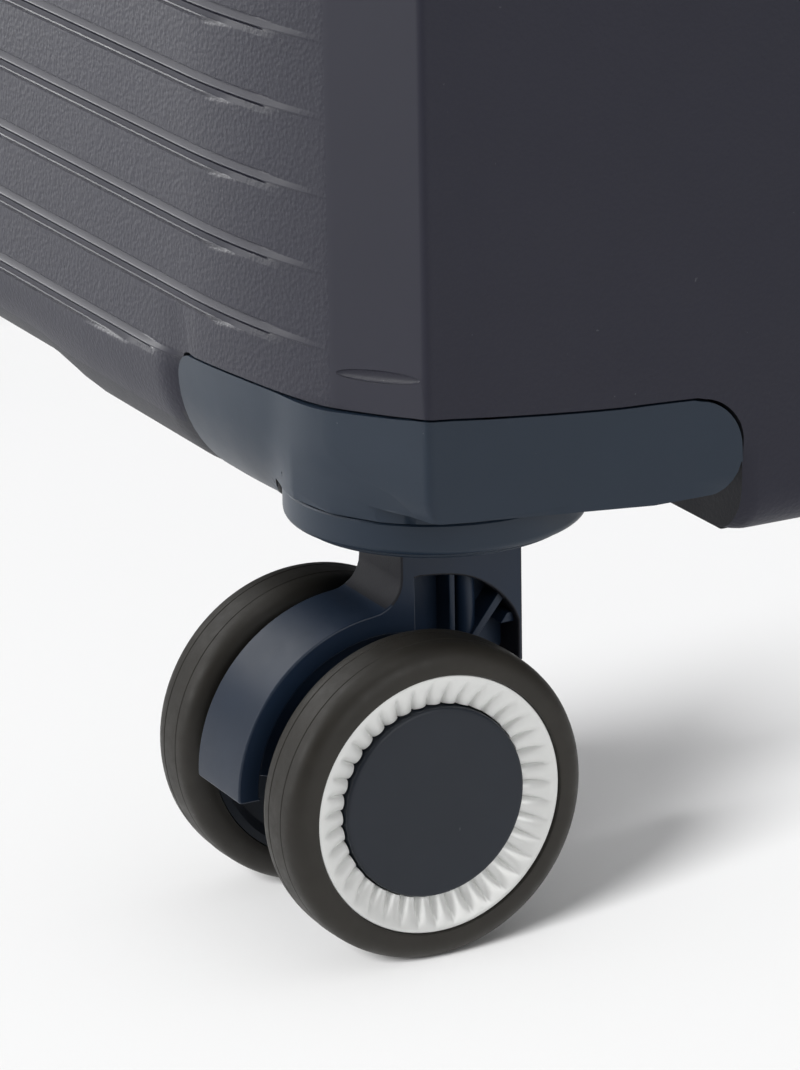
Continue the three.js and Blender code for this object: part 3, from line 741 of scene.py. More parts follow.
def shell_finish(x, y, z, normal):
    """Grain on the faces, satin on the strips and in the rib channels, coarse inside."""
    grain, satin, coarse = range(3)
    nx, ny, nz = normal
    if (abs(x) > STRIP_START and abs(abs(y) - strip_y(x)) < 0.7
            and 0.2 < abs(nx) < 0.85 and abs(nz) < 0.2):
        return satin
    outside = (nx * x > 0 and abs(nx) > 0.3) or ny * y > 0
    rib_bottom = RIB_FIRST - RIB_SECTION[-1][0]
    if abs(ny) > 0.5 and outside and abs(y) > HALF_D - bow(x) - 2 and z > rib_bottom:
        down = (RIB_FIRST - z) % RIB_PITCH
        return satin if 0.3 < down < 3.2 and abs(rib_height(x, z)) > 0.05 else grain
    inside = abs(x) < HALF_W - 3 and abs(y) < HALF_D - 3
    return coarse if inside and SHELL_BOTTOM + 3 < z < SHELL_TOP - 4 else grain


def shell_half():
    """The front half shell, with its ribs, recesses and hollow."""
    shell = case_half("shell", 0.0, SEAM_HALF, True)
    scoop(shell)
    hollow = case_half("hollow", WALL, SEAM_HALF - 5, False)
    cutter = recess("recess", 0.0, 30)
    solid_well = inner_well(WALL)
    for corner in ("front_right", "front_left"):
        combine(shell, [at_corner(cutter, "recess", corner)], "DIFFERENCE")
        combine(hollow, [at_corner(solid_well, "well", corner)], "DIFFERENCE")
    discard(cutter)
    discard(solid_well)
    return combine(shell, [hollow], "DIFFERENCE")


def finished(obj, body, slot, material, *nodes):
    """Gives the piece its finish where one is given, hangs it on the body it rides on and hides the
    CAD nodes it stands for.
    """
    if material is not None:
        obj.data.materials.clear()
        obj.data.materials.append(material)
    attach(obj, body)
    if nodes:
        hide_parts(*nodes)
    return obj


PAN_LENGTH = 150.0
PAN_WIDTH = 40.0
PAN_FLANGE = 3.0
TOP_PAN_Y = 31.5
SIDE_PAN_Y = 66.0
BEZEL_X = 96.0
BEZEL_Y = (58.0, 90.0)
LOCK_Y = (10.0, 37.0)
LOCK_Z = (266.0, 334.0)


def rear_cut_outs():
    """The openings in the rear shell for the parts let into it."""
    half = PAN_LENGTH / 2 - PAN_FLANGE + GAP
    across = PAN_WIDTH / 2 - PAN_FLANGE + GAP
    top = (SHELL_TOP - 10, SHELL_TOP + 10)
    side = (HALF_W - 10, HALF_W + 10)
    bezel_x = BEZEL_X - PAN_FLANGE + GAP
    inset = PAN_FLANGE - GAP
    return [
        block("top_pan", (-half, half), (TOP_PAN_Y - across, TOP_PAN_Y + across), top),
        block("side_pan", side, (SIDE_PAN_Y - across, SIDE_PAN_Y + across),
              (MID_Z - half, MID_Z + half)),
        block("bezel", (-bezel_x, bezel_x), (BEZEL_Y[0] + inset, BEZEL_Y[1] - inset), top),
        block("lock", side, (LOCK_Y[0] + 2, LOCK_Y[1] - 2), (LOCK_Z[0] + 2, LOCK_Z[1] - 2)),
    ]


def make_shells():
    """Both half shells; the rear one is a mirror image with openings."""
    front = shell_half()
    rear = mirrored(front, "rear_half_shell", 1, -1, (0, 0, 0))
    combine(rear, rear_cut_outs(), "DIFFERENCE")
    front.name = "front_half_shell"
    for obj, body, node in ((front, "lid", "front_shell"), (rear, "root", "rear_shell")):
        paint(obj, (SHELL_GRAIN, SHELL_SATIN, SHELL_COARSE), shell_finish)
        shade(obj, 38)
        finished(obj, body, "shell_plastic", None, node)


# ---- casters ----
def moulding():
    """The corner moulding round a caster: a band flush with the case, fuller over the round cup."""
    band = recess("band", -GAP, LEFT_WING_BOTTOM)
    case = case_half("case", 0.12, SEAM_HALF, False, True)
    case.data.transform(Matrix.Translation(Vector((-CASTER_X, CASTER_Y, 0)) * MM))
    combine(band, [case], "INTERSECT")
    low = RIGHT_WING_BOTTOM
    slope = [(-FAR, 50), (FAR, 50), (FAR, low), (23, low), (-40, low + 5.5)]
    below = prism("below", slope, "x", -6, FAR)
    combine(below, [drum("keep", COLLAR_RADIUS + 0.05, 40, 90)], "DIFFERENCE")
    socket = drum("socket", COLLAR_RADIUS + 0.55, 50, COLLAR_BOTTOM)
    right = RECESS_RIGHT
    sweep = [(right - 6, 60), (right + 5, 60), (right + 5, 71)]
    sweep += arc((right - 6.4, 72.8), 6, 0, -90, 6)[1:]
    combine(band, [below, socket, prism("sweep", sweep, "x", -FAR, FAR)], "DIFFERENCE")
    return soften(band, 0.4, 3, 40)


def drum(name, radius, low, high):
    """An upright cylinder round the swivel axis."""
    profile = [(0.01, low), (radius, low), (radius, high), (0.01, high)]
    return lathe(name, profile, "z", (0, 0, 0), 144)


def cup():
    """The round cup under the moulding, with a thin second lip at its foot."""
    r, top = CUP_RADIUS, COLLAR_BOTTOM
    profile = [(6.6, 72), (r - 0.8, 72), (r - 0.8, top - 0.25), (r - 0.2, top - 0.3),
               (r, top - 0.55), (r, 64.2), *arc((r - 1.3, 64.2), 1.3, 0, -80, 4)[1:],
               (r - 1.9, 62.9), (r - 1.9, 62.75), (r - 2.1, 62.75), (r - 2.1, 62.3),
               *arc((r - 2.6, 62.5), 0.5, 0, -90, 3)[1:], (6.6, 62.0)]
    return shade(lathe("cup", profile, "z", (0, 0, 0), 96), 30)


FENDER_RADIUS = 25.4
FENDER_INNER = 21.9
FORK_HALF = 7.0
NECK_FRONT = -9.7
NECK_BACK = 11.1
NECK_TOP = 61.6


def fork_side():
    """The fork's outline from the side: neck, fender and the arch of the window."""
    axle = (WHEEL_Y, WHEEL_RADIUS)
    sweep = 5.0
    gap_y = sweep - (NECK_FRONT - WHEEL_Y)
    reach = FENDER_RADIUS + sweep
    centre = (NECK_FRONT - sweep, WHEEL_RADIUS + math.sqrt(reach ** 2 - gap_y ** 2))
    lean = math.degrees(math.atan2(centre[1] - axle[1], centre[0] - axle[0]))
    outline = [(NECK_BACK, NECK_TOP), (NECK_FRONT, NECK_TOP)]
    outline += arc(centre, sweep, 0, lean - 180, 7)
    outline += arc(axle, FENDER_RADIUS, lean, 180, 26)[1:]
    outline += [(WHEEL_Y - FENDER_RADIUS + 0.3, WHEEL_RADIUS - 0.6),
                (WHEEL_Y - FENDER_INNER + 0.4, WHEEL_RADIUS - 0.6)]
    window_left = -7.3
    end = math.degrees(math.acos((window_left - 0.9 - WHEEL_Y) / FENDER_INNER))
    outline += arc(axle, FENDER_INNER, 180, end, 22)
    outline += [(window_left, 46.4), (window_left, 55.0)]
    arch = [(-6.4, 55.1), (-1.5, 54.5), (2.6, 53.3), (6.4, 50.8), (9.2, 47.6), (10.3, 45.2)]
    return [*outline, *smooth_line(arch, 4), (10.3, 38.5), (NECK_BACK, 38.5)]


def fork():
    """The swivelling fork with its fender, window, webs and axle boss."""
    solid = prism("fork", fork_side(), "x", -FORK_HALF, FORK_HALF)
    soften(solid, 0.35, 2, 40)
    spine = [(-34.6, 27), *arc(AXLE[1:], FENDER_INNER + 1.2, 175, 84, 18),
             (-8.5, 49), (-8.5, 56.5), (8, 56.5), (10.7, 47), (10.7, 40), (4, 33), (-2, 22),
             (-12.4, 18), (-18, 22)]
    webs = [prism("spine", spine, "x", -1.4, 1.4)]
    ribs = {
        "upright": [(-0.8, 40), (0.2, 40), (0.2, 56), (-0.8, 56)],
        "diagonal": [(2.6, 43.2), (3.7, 42.8), (9.4, 49.6), (8.4, 50.6)],
        "ledge": [(8.0, 44.6), (10.7, 44.6), (10.7, 46.2), (9.2, 46.2)],
    }
    for side in (-1, 1):
        near, far = sorted((side * 0.8, side * 5.6))
        webs += [prism(name, outline, "x", near, far) for name, outline in ribs.items()]
        post = [(0.02, 40), (1.5, 40), (1.5, 55), (0.02, 55)]
        webs.append(lathe("post", post, "z", (side * 3.4, 3.0, 0), 18))
    dot = [(0.02, -4.4), (1.1, -4.4), (1.1, 4.4), (0.02, 4.4)]
    for y, z in ((-33.0, 33.0), (-29.6, 39.6), (-24.2, 44.4)):
        webs.append(lathe("dot", dot, "x", (0, y, z), 14))
    boss = [(2.15, -11.3), (5.2, -11.3), (6.0, -10.5), (6.0, 10.5), (5.2, 11.3), (2.15, 11.3)]
    webs.append(lathe("boss", boss, "x", AXLE, 40))
    for web in webs:
        soften(web, 0.15, 1, 50)
    return solid, joined("fork_webs", webs)


def fork_finish(_x, y, z, _normal):
    """Satin on the fender; grain on the neck, whose darker colour is partly painted shade."""
    return 1 if y > -7.5 or (y > NECK_FRONT - 4.6 and z > 51.2) else 0


HUB_RADIUS = 20.3
RING_INNER = 15.25
FLUTES = 39


def tyre():
    """A rubber tyre with round shoulders and two fine mould lines."""
    low, high = PAIR_HALF_WIDTH - TYRE_WIDTH, PAIR_HALF_WIDTH
    shoulder, crown, groove = 3.2, 0.12, 0.09
    reach = WHEEL_RADIUS - crown - shoulder
    flat = WHEEL_RADIUS - crown * 0.6
    line = [(flat, 3.9), (flat - groove, 4.02), (flat - groove, 4.1), (flat, 4.22)]
    profile = [(HUB_RADIUS + 0.05, low + 0.3), (HUB_RADIUS + 0.6, low)]
    profile += [(r, along) for along, r in arc((low + shoulder, reach), shoulder, 180, 92, 7)]
    profile += [(r, low + in_from) for r, in_from in line]
    profile.append((WHEEL_RADIUS, (low + high) / 2))
    profile += [(r, high - in_from) for r, in_from in reversed(line)]
    profile += [(r, along) for along, r in arc((high - shoulder, reach), shoulder, 88, 0, 7)]
    profile += [(HUB_RADIUS + 0.45, high), (HUB_RADIUS + 0.2, high - 0.12),
                (HUB_RADIUS + 0.05, high - 0.5)]
    return shade(lathe("tyre", profile, "x", AXLE, 128), 30)


def flute(radius, turn):
    """Radial flutes: soft lobes with a sharp valley between, fading out towards the rim."""
    depth = 0.85 * ease((19.7 - radius) / 2.6) + 0.1 * ease((17.6 - radius) / 2)
    return -depth * (1 - abs(math.sin(FLUTES * turn / 2)) ** 0.55)


def trim_ring():
    """The silver ring: a smooth rim, then a fluted slope down to the cap."""
    face = PAIR_HALF_WIDTH - 0.55
    slope = [(HUB_RADIUS, 3.4), (HUB_RADIUS, 0.16), (HUB_RADIUS - 0.08, 0.04), (20.05, 0),
             (19.75, 0.1), (19.3, 0.25), (18.6, 0.55), (17.7, 1.0), (16.8, 1.45), (16.0, 1.8),
             (RING_INNER, 2.0), (RING_INNER, 3.4)]
    profile = [(radius, face - down) for radius, down in slope]
    return shade(lathe("ring", profile, "x", AXLE, FLUTES * 12, flute), 40)


def hub_cap():
    """The navy cap in the middle, a shallow dome with a rounded edge."""
    face = PAIR_HALF_WIDTH - 1.35
    r = RING_INNER - 0.28
    edge = [(radius, along) for along, radius in arc((face - 0.75, r - 0.5), 0.5, 90, 0, 4)]
    profile = [(2.2, face - 4), (r, face - 4), *edge, (r - 1.0, face - 0.16),
               (r * 0.75, face - 0.08), (r * 0.4, face - 0.03), (0.03, face), (0.03, face - 3),
               (2.2, face - 3)]
    return shade(lathe("cap", profile, "x", AXLE, 96), 40)


def hub_core():
    """The hub's plain inner side, a dished disc with a boss round the axle."""
    low = PAIR_HALF_WIDTH - TYRE_WIDTH
    high = PAIR_HALF_WIDTH - 5.6
    rim = HUB_RADIUS - 0.1
    profile = [(2.4, low + 0.2), (5.4, low + 0.2), (5.8, low + 0.6), (6.0, low + 1.8),
               (17.6, low + 2.2), (18.4, low + 1.0), (19.0, low + 0.4), (rim, low + 0.4),
               (rim, high), (2.4, high)]
    return shade(lathe("core", profile, "x", AXLE, 64), 35)


def make_casters():
    """Every part of a caster is made once and copied to the four corners."""
    band = moulding()
    round_cup = cup()
    body, webs = fork()
    paint(body, (FORK_SATIN, FORK_GRAIN_AND_PAINTED_SHADE), fork_finish)
    wheel = {
        "tyre": (tyre(), RUBBER, "tyre_rubber", "wheel_tyre_"),
        "ring": (trim_ring(), RING_SILVER, "wheel_plastic", None),
        "cap": (hub_cap(), CAP_NAVY, "caster_plastic", None),
        "core": (hub_core(), CAP_NAVY, "caster_plastic", "wheel_hub_"),
    }
    for corner, (_, sy) in CORNERS.items():
        base = "lid" if sy < 0 else "root"
        swivel = "swivel_" + corner
        for shape, name, rides, slot, finish, *nodes in (
                (band, "corner_band_", base, "caster_plastic", HOUSING_SATIN, "caster_housing_"),
                (round_cup, "corner_cup_", base, "caster_plastic", HOUSING_SATIN),
                (body, "fork_body_", swivel, "fork_plastic", None, "caster_fork_"),
                (webs, "fork_webs_", swivel, "fork_plastic", FORK_SATIN)):
            piece = at_corner(shape, name + corner, corner)
            finished(piece, rides, slot, finish, *(node + corner for node in nodes))
        for side, flip in (("outer", 1), ("inner", -1)):
            for kind, (shape, finish, slot, node) in wheel.items():
                turned = mirrored(shape, kind, flip, 1, (0, 0, 0))
                piece = at_corner(turned, f"wheel_{kind}_piece_{corner}_{side}", corner)
                discard(turned)
                nodes = [node + corner + "_" + side] if node else []
                finished(piece, f"wheel_{corner}_{side}", slot, finish, *nodes)
        dress("caster_axle_" + corner, AXLE_STEEL)
    for shape in (band, round_cup, body, webs, *(w[0] for w in wheel.values())):
        discard(shape)


def dress(node, material):
    """Gives a CAD node its finish."""
    obj = bpy.data.objects[node]
    obj.data.materials.clear()
    obj.data.materials.append(material)


# ---- cloth finishes ----
def threads(tree, place, way, pitch):
    """Sine ridges across a direction, `pitch` millimetres apart."""
    waves = [c * 2 * math.pi / (pitch * MM) for c in way]
    along = node(tree, "VectorMath", "Value", {0: place, 1: waves}, operation="DOT_PRODUCT")
    return node(tree, "Math", "Value", {0: along}, operation="SINE")


def woven(name, colour, pitch, depth, ways=((1, 1, 0), (0, 1, -1)), valley_shade_amount=0.16):
    """Cloth with crossing threads, with painted shade between them."""
    made = surface(name, colour, 0.8, mottle=(30, 0.08), specular=0.25, sheen=0.25,
                   grain=[("noise", pitch * 0.6, depth * 0.5)])
    tree = made.node_tree
    place = tree.nodes["Texture Coordinate"].outputs["Object"]
    warp, weft = (threads(tree, place, way, pitch) for way in ways)
    weave = node(tree, "Math", "Value", {0: warp, 1: weft}, operation="MULTIPLY")
    height = spread(tree, weave, 0, 1, -1, 1)
    shader = tree.nodes["Principled BSDF"]
    colour, normal = shader.inputs["Base Color"], shader.inputs["Normal"]
    tree.links.new(bumped(tree, height, depth, normal.links[0].from_socket), normal)
    # Painted shade: the colour darkens in the low places between the threads.
    valley_shade = mixed(tree, height, scaled((1, 1, 1), 1 - valley_shade_amount), (1, 1, 1, 1))
    plain = colour.links[0].from_socket
    tree.links.new(mixed(tree, 1.0, plain, valley_shade, "MULTIPLY"), colour)
    return made


TAPE_CLOTH = woven("tape_cloth", (0.022, 0.024, 0.032), 0.9, 0.12)
GUSSET_CLOTH = woven("gusset_cloth", (0.020, 0.022, 0.031), 1.3, 0.2)
LINING_CLOTH = woven("lining_cloth", (0.105, 0.115, 0.145), 1.1, 0.08, valley_shade_amount=0.22)
WEBBING = woven("webbing", (0.016, 0.018, 0.026), 1.6, 0.3, ways=((1, 0, 1), (1, 0, -1)))
THREAD = surface("thread", (0.06, 0.063, 0.08), 0.7, mottle=(2, 0.2), grain=[("noise", 0.3, 0.04)])
TOOTH_BLACK = surface("tooth_black", (0.012, 0.012, 0.014), 0.35, mottle=(3, 0.2),
                      grain=[("noise", 0.4, 0.02)])
ZINC = surface("zinc", (0.36, 0.36, 0.375), 0.34, metallic=1.0, mottle=(5, 0.08), scuff=0.08,
               grain=[("noise", 0.5, 0.008), ("noise", 2.2, 0.01)])
TRIM = surface("trim_satin", (0.012, 0.0125, 0.016), 0.42, mottle=(20, 0.08), speckle=0.03,
               grain=[("noise", 0.35, 0.008)])
TRIM_COARSE = surface("trim_coarse", (0.011, 0.0115, 0.014), 0.6, mottle=(12, 0.1),
                      grain=[("cells", 0.7, 0.06), ("noise", 0.3, 0.02)])
SOFT_GRIP = surface("soft_grip", (0.014, 0.014, 0.016), 0.68, mottle=(10, 0.1),
                    grain=[("cells", 1.1, 0.09), ("noise", 0.35, 0.02)])
DIAL_GREY = surface("dial_grey", (0.16, 0.165, 0.18), 0.45, mottle=(3, 0.08),
                    grain=[("noise", 0.3, 0.01)])
TUBE = surface("tube_anodised", (0.50, 0.505, 0.52), 0.3, metallic=1.0, mottle=(8, 0.05), scuff=0.06,
               grain=[("noise", 0.35, 0.01)], stretch=(1, 1, 0.04))


# ---- zipper ----
TAPE_INSET = 1.0
TOOTH_PITCH = 2.4
TAPE_UNDER_HINGE = 30.0
TAPE_SECTION = [(0.9, -0.8), (2.3, -0.65), (2.9, -0.2), (3.5, -0.02), (7.0, 0.0), (7.6, -0.12),
                (7.6, -2.3), (2.3, -1.9), (0.9, -1.5)]
TOOTH_Y = 0.95
TOOTH_SIZE = (0.45, 1.25, 0.55)  # half its length along the seam, its width and its height
STITCH_Y = 5.7
STITCH_SIZE = (0.85, 0.22, 0.14)
SLIDER_GAP = 12.0  # each slider stands this far from the middle of the side
SLIDER_X = (HALF_W - 0.6, HALF_W + 0.8)
TAB_X = (HALF_W + 1.25, HALF_W + 2.25)
TAB_Y = (-3.4, 23.9)


def seam_points():
    """Places round the seam with the outward direction at each, one per tooth.

    The line starts and ends under the fabric hinge."""
    half = HALF_W - TAPE_INSET
    low, high = SHELL_BOTTOM + TAPE_INSET, SHELL_TOP - TAPE_INSET
    radius = SIDE_FILLET - 0.5
    flat = half - radius
    bend = radius * math.pi / 2
    under = TAPE_UNDER_HINGE
    # Each straight run's length, and the centre of the bend at its end. The last has no bend.
    runs = [(under, (-flat, low + radius)), (2 * flat, (flat, low + radius)),
            (high - low - 2 * radius, (flat, high - radius)), (2 * flat, (-flat, high - radius)),
            (under, (-flat, high - radius - under))]
    total = sum(length for length, _ in runs) + (len(runs) - 1) * bend
    count = round(total / TOOTH_PITCH)
    found = []
    for at in steps(0, total, count):
        k = 0
        while k < len(runs) - 1 and at > runs[k][0] + bend:
            at -= runs[k][0] + bend
            k += 1
        length, centre = runs[k]
        before, after = min(at - length, 0), max(at - length, 0)
        angle = math.pi * (1 + k / 2) + after / radius
        n = (math.cos(angle), math.sin(angle))
        x = centre[0] + radius * n[0] - before * n[1]
        z = centre[1] + radius * n[1] + before * n[0]
        found.append((x, z + raised(x, z - TAPE_INSET), n))
    return found


def swept(name, path, section, side, closed=False):
    """A section of (across, out) points carried along the path, on one side of the middle."""
    points = [(x + out[0] * height, side * across, z + out[1] * height)
              for x, z, out in path for across, height in section]
    n = len(section)
    faces = tube_faces(len(path), n, closed)
    if not closed:
        faces += [list(range(n)), list(range(len(points) - n, len(points)))]
    return make(name, points, faces)


BRICK_FACES = ((0, 1, 3, 2), (4, 6, 7, 5), (0, 4, 5, 1), (2, 3, 7, 6), (0, 2, 6, 4), (1, 5, 7, 3))


def bricks(name, places):
    """Many small six-sided solids: each place is (centre, half sizes along three directions)."""
    points = []
    faces = []
    for centre, ways in places:
        first = len(points)
        for i, j, k in product((-1, 1), repeat=3):
            # The outer end of each is a little narrower.
            narrow = 0.72 if k > 0 else 1.0
            points.append([c + narrow * (i * a + j * b) + k * d
                           for c, a, b, d in zip(centre, *ways)])
        for face in BRICK_FACES:
            faces.append([first + i for i in face])
    return make(name, points, faces)


def along_brick(x, y, z, out, length, width, height):
    """A brick lying along the seam at a place, its top towards `out`."""
    along = (-out[1], 0, out[0])
    return ((x, y, z), ([c * length for c in along], (0, width, 0),
                        (out[0] * height, 0, out[1] * height)))


def make_zip():
    """The tape, the teeth and a row of stitches along each half's edge."""
    path = seam_points()
    for half, side, body in (("front", -1, "lid"), ("rear", 1, "root")):
        tape = shade(swept(half + "_tape", path, TAPE_SECTION, side), 40)
        finished(tape, body, "zip_tape", TAPE_CLOTH, half + "_zip_tape")
        teeth = []
        stitches = []
        # The two halves' teeth take turns along the seam.
        part = 0.25 if side < 0 else 0.75
        for (x, z, out), (x1, z1, _) in zip(path, path[1:]):
            for row, share, y, rise, size in ((teeth, part, TOOTH_Y, -0.75, TOOTH_SIZE),
                                              (stitches, 0.5, STITCH_Y, 0.03, STITCH_SIZE)):
                u = x + (x1 - x) * share + out[0] * rise
                w = z + (z1 - z) * share + out[1] * rise
                row.append(along_brick(u, side * y, w, out, *size))
        finished(bricks(half + "_teeth", teeth), body, "zip_metal", TOOTH_BLACK)
        finished(bricks(half + "_tape_stitches", stitches), body, "zip_tape", THREAD)


def make_sliders():
    """Two sliders and their pull tabs, which lie flat towards the lock."""
    for name, sign in (("lower", -1), ("upper", 1)):
        z = MID_Z + sign * SLIDER_GAP
        mouth = [(-5, 6.8), (-2.2, 6.8), (0, 4.6), (2.2, 6.8), (5, 6.8), (4.6, -1), (3.2, -6.8),
                 (-3.2, -6.8), (-4.6, -1)]
        outline = [(y, z + sign * w) for y, w in mouth]
        body = soften(prism("slider", outline, "x", *SLIDER_X), 0.4, 2, 30)
        post = block("post", (SLIDER_X[1] - 0.5, TAB_X[1] - 0.05), (-2.0, -0.4), (z - 1.1, z + 1.1))
        body = joined("zip_slider_body_" + name, [body, soften(post, 0.35, 2, 30)])
        finished(shade(body, 40), "zip_slider_" + name, "zip_metal", ZINC, "zip_slider_" + name)
        tab = prism("tab", rounded(TAB_Y, (z - 3.9, z + 3.9), 3.2), "x", *TAB_X)
        cuts = [block("eye", (HALF_W, HALF_W + 4), (-2.6, 1.2), (z - 1.7, z + 1.7))]
        cuts += [block("groove", (TAB_X[1] - 0.3, HALF_W + 4), (y, y + 0.8), (z - 2.6, z + 2.6))
                 for y in steps(10.5, 17.7, 3)]
        combine(tab, cuts, "DIFFERENCE")
        soften(tab, 0.22, 2, 40)
        tab.name = "zip_pull_tab_" + name
        finished(tab, "zip_pull_" + name, "zip_metal", ZINC, "zip_pull_" + name)


# ---- fabric hinge ----
GUSSET_Y = 15.0  # half the strip's width
GUSSET_Z = (80.0, 510.0)
GUSSET_GAP = 0.42  # over the shells
GUSSET_THICK = 1.35
GUSSET_HEM = 1.2
GUSSET_SEAM_Y = 12.2
GUSSET_ROWS = 172
GUSSET_LIMIT = HALF_W + 2.25
# Each half's row of stitches. They differ, so that the rows lie side by side on the open case.
HINGE_STITCH_Y = {"front": -12.6, "rear": 11.8}


def gusset_thickness(y, z):
    """The strip's thickness: pressed in along its seams, fuller over the fold, puckered."""
    from_seam = abs(y) - GUSSET_SEAM_Y
    seam = 0.3 * math.exp(-(from_seam / 0.8) ** 2)
    fold = 0.55 * math.exp(-(y / 2.6) ** 2)
    hem = min((GUSSET_Y - abs(y)) / GUSSET_HEM, 1)
    slack = 0.5 + 0.5 * noise_at(z * 0.035, 3.1)
    pucker = 0.08 * math.sin(z * 2.1) * math.exp(-(from_seam / 2.2) ** 2)
    return GUSSET_THICK * hem ** 0.5 - seam + fold * slack * 0.55 + pucker


def make_gusset():
    """A doubled cloth strip over the seam on the hinge side, with a row of stitches each side."""
    ys = steps(-GUSSET_Y, GUSSET_Y, 30)
    zs = steps(*GUSSET_Z, GUSSET_ROWS)
    foot = HALF_W + GUSSET_GAP
    below = [[(-foot, y, z) for y in ys] for z in zs]
    above = [[(-min(foot + gusset_thickness(y, z), GUSSET_LIMIT), y, z) for y in ys] for z in zs]
    strip = shade(slab("hinge_cloth", below, above), 60)
    strip.data.materials.append(GUSSET_CLOTH)
    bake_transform(strip)
    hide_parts("hinge_gusset")
    for half, body in (("front", "lid"), ("rear", "root")):
        stitches = []
        z = GUSSET_Z[0] + 2
        while z < GUSSET_Z[1] - 2:
            stitches.append(along_brick(-(HALF_W + 1.5), HINGE_STITCH_Y[half], z, (-1, 0),
                                        1.0, 0.24, 0.16))
            z += 3.0
        finished(bricks(half + "_hinge_stitches", stitches), body, "zip_tape", THREAD)


def noise_at(u, v):
    """Smooth values between -1 and 1 that repeat for the same place."""
    return noise.noise(Vector((u, v, 7.3)))


# ---- linings ----
LINING_THICK = 0.7
LINING_MOUTH = 9.0  # the cloth starts this far from the middle plane
LINING_BACK = 98.0  # and lies this far from it on the broad face
LINING_TALL = LINING_BACK - LINING_MOUTH
LINING_CLEAR = 1.4
WALL_STEP = 9.0  # a wall of the lining takes up this much width
WELL_STEP = 4.0
WELL_X = CASTER_X + RECESS_LEFT - WALL
WELL_Y = CASTER_Y - RECESS_RIGHT - WALL
WELL_Z = WELL_ROOF + WALL
TUBE_X = 70.0
TUBE_Y = 74.0
TUBE_COVER = 15.0  # half the width that the cloth keeps free for each trolley tube
FOOT_HALF = 86.0  # the bracket that joins the tubes at their foot
FOOT_TOP = 79.0
HEM_SECTION = [(9.0, -2.6), (9.0, 0.2), (9.5, 0.7), (15.5, 0.7), (16.0, 0.3), (16.0, -0.6),
               (10.2, -0.8), (10.2, -2.6)]


def edge_distance(x, z, xs, zs):
    """How far a place is from the nearest edge of a rectangle."""
    return min(x - xs[0], xs[1] - x, z - zs[0], zs[1] - z)


def lining_depth(x, z, xs, zs, trolley):
    """Distance of the cloth from the middle plane: the panel, the walls and the dents."""
    depth = LINING_MOUTH + LINING_TALL * ease_out(edge_distance(x, z, xs, zs) / WALL_STEP)
    past_x = abs(x) - (WELL_X - LINING_CLEAR)
    level = WELL_Y - LINING_CLEAR
    dents = [(min(past_x, WELL_Z + LINING_CLEAR - z), level)]
    if trolley:
        level = TUBE_Y - 11.2
        dents += [(TUBE_COVER + LINING_CLEAR - abs(abs(x) - TUBE_X), level),
                  (min(FOOT_HALF + LINING_CLEAR - abs(x), FOOT_TOP + LINING_CLEAR - z), level)]
    for inside, level in dents:
        if inside > -WELL_STEP:
            rise = 1 - ease_out(1 + inside / WELL_STEP)
            depth = min(depth, level + (LINING_BACK - level) * rise)
    return depth


def ease_out(t):
    """A step from 0 to 1 that starts fast and ends gently."""
    t = min(max(t, 0.0), 1.0)
    return 1 - (1 - t) ** 3


def spaced(low, high, marks):
    """Places between two ends, close together near the marks."""
    found = {low, high}
    at = low
    while at < high:
        found.add(at)
        near = min(min(abs(at - m) for m in marks), abs(at - low), abs(at - high))
        at += 1.0 if near < WALL_STEP else 6.0
    return sorted(found)


def lining_cloth(half, side, xs, zs, trolley):
    """The cloth of one half, slack between its edges."""
    across = [WELL_X - 3, -WELL_X + 3]
    upright = [WELL_Z + 3]
    if trolley:
        across += [s * (TUBE_X + k) for s in (-1, 1) for k in (-18, 18)]
        upright.append(82)
    us, ws = spaced(*xs, across), spaced(*zs, upright)
    points = []
    for w in ws:
        for u in us:
            slack = ease((edge_distance(u, w, xs, zs) - 8) / 30)
            fold = 1.1 * noise_at(u * 0.022, w * 0.031) + 0.45 * noise_at(u * 0.09 + 9, w * 0.05)
            depth = lining_depth(u, w, xs, zs, trolley) - slack * (1.0 + fold) - 0.4
            points.append((u, side * depth, w))
    n = len(us)
    rows = [range(k * n, (k + 1) * n) for k in range(len(ws))]
    cloth = make(half + "_lining_cloth", points, grid_faces(rows))
    solid = cloth.modifiers.new("thickness", "SOLIDIFY")
    solid.thickness = LINING_THICK * MM
    solid.offset = 0
    return shade(settle(cloth), 70)


def make_linings():
    """A fabric tray in each half, with a hem round its mouth."""
    for half, side, body, xs, zs, trolley in (
            ("front", -1, "lid", (-176, 176), (64, 526), False),
            ("rear", 1, "root", (-176, 170), (64, 510), True)):
        cloth = lining_cloth(half, side, xs, zs, trolley)
        finished(cloth, body, "lining_fabric", LINING_CLOTH, half + "_lining")
        hem = swept(half + "_lining_hem", ring_points(xs, zs, 5.0), HEM_SECTION, side, closed=True)
        finished(shade(hem, 40), body, "zip_tape", TAPE_CLOTH)


def ring_points(xs, zs, radius):
    """Places round a rounded rectangle in the x-z plane with outward directions."""
    outward = rounded((-1, 1), (-1, 1), 1)
    return [(x, z, out) for (x, z), out in zip(rounded(xs, zs, radius), outward)]


# ---- packing straps ----
STRAP_WIDTH = 24.0
STRAP_THICK = 1.1
STRAP_START = (22.0, 5.0)  # from the middle of the case to where each arm leaves its buckle
STRAP_REACH = (160.0, 130.0)
BUCKLE_X = (0.4, 29.6)
BUCKLE_Y = (9.9, 15.4)
BUCKLE_HALF = 16.6
THROUGH = (8, 18)  # cutters reach right through the buckle


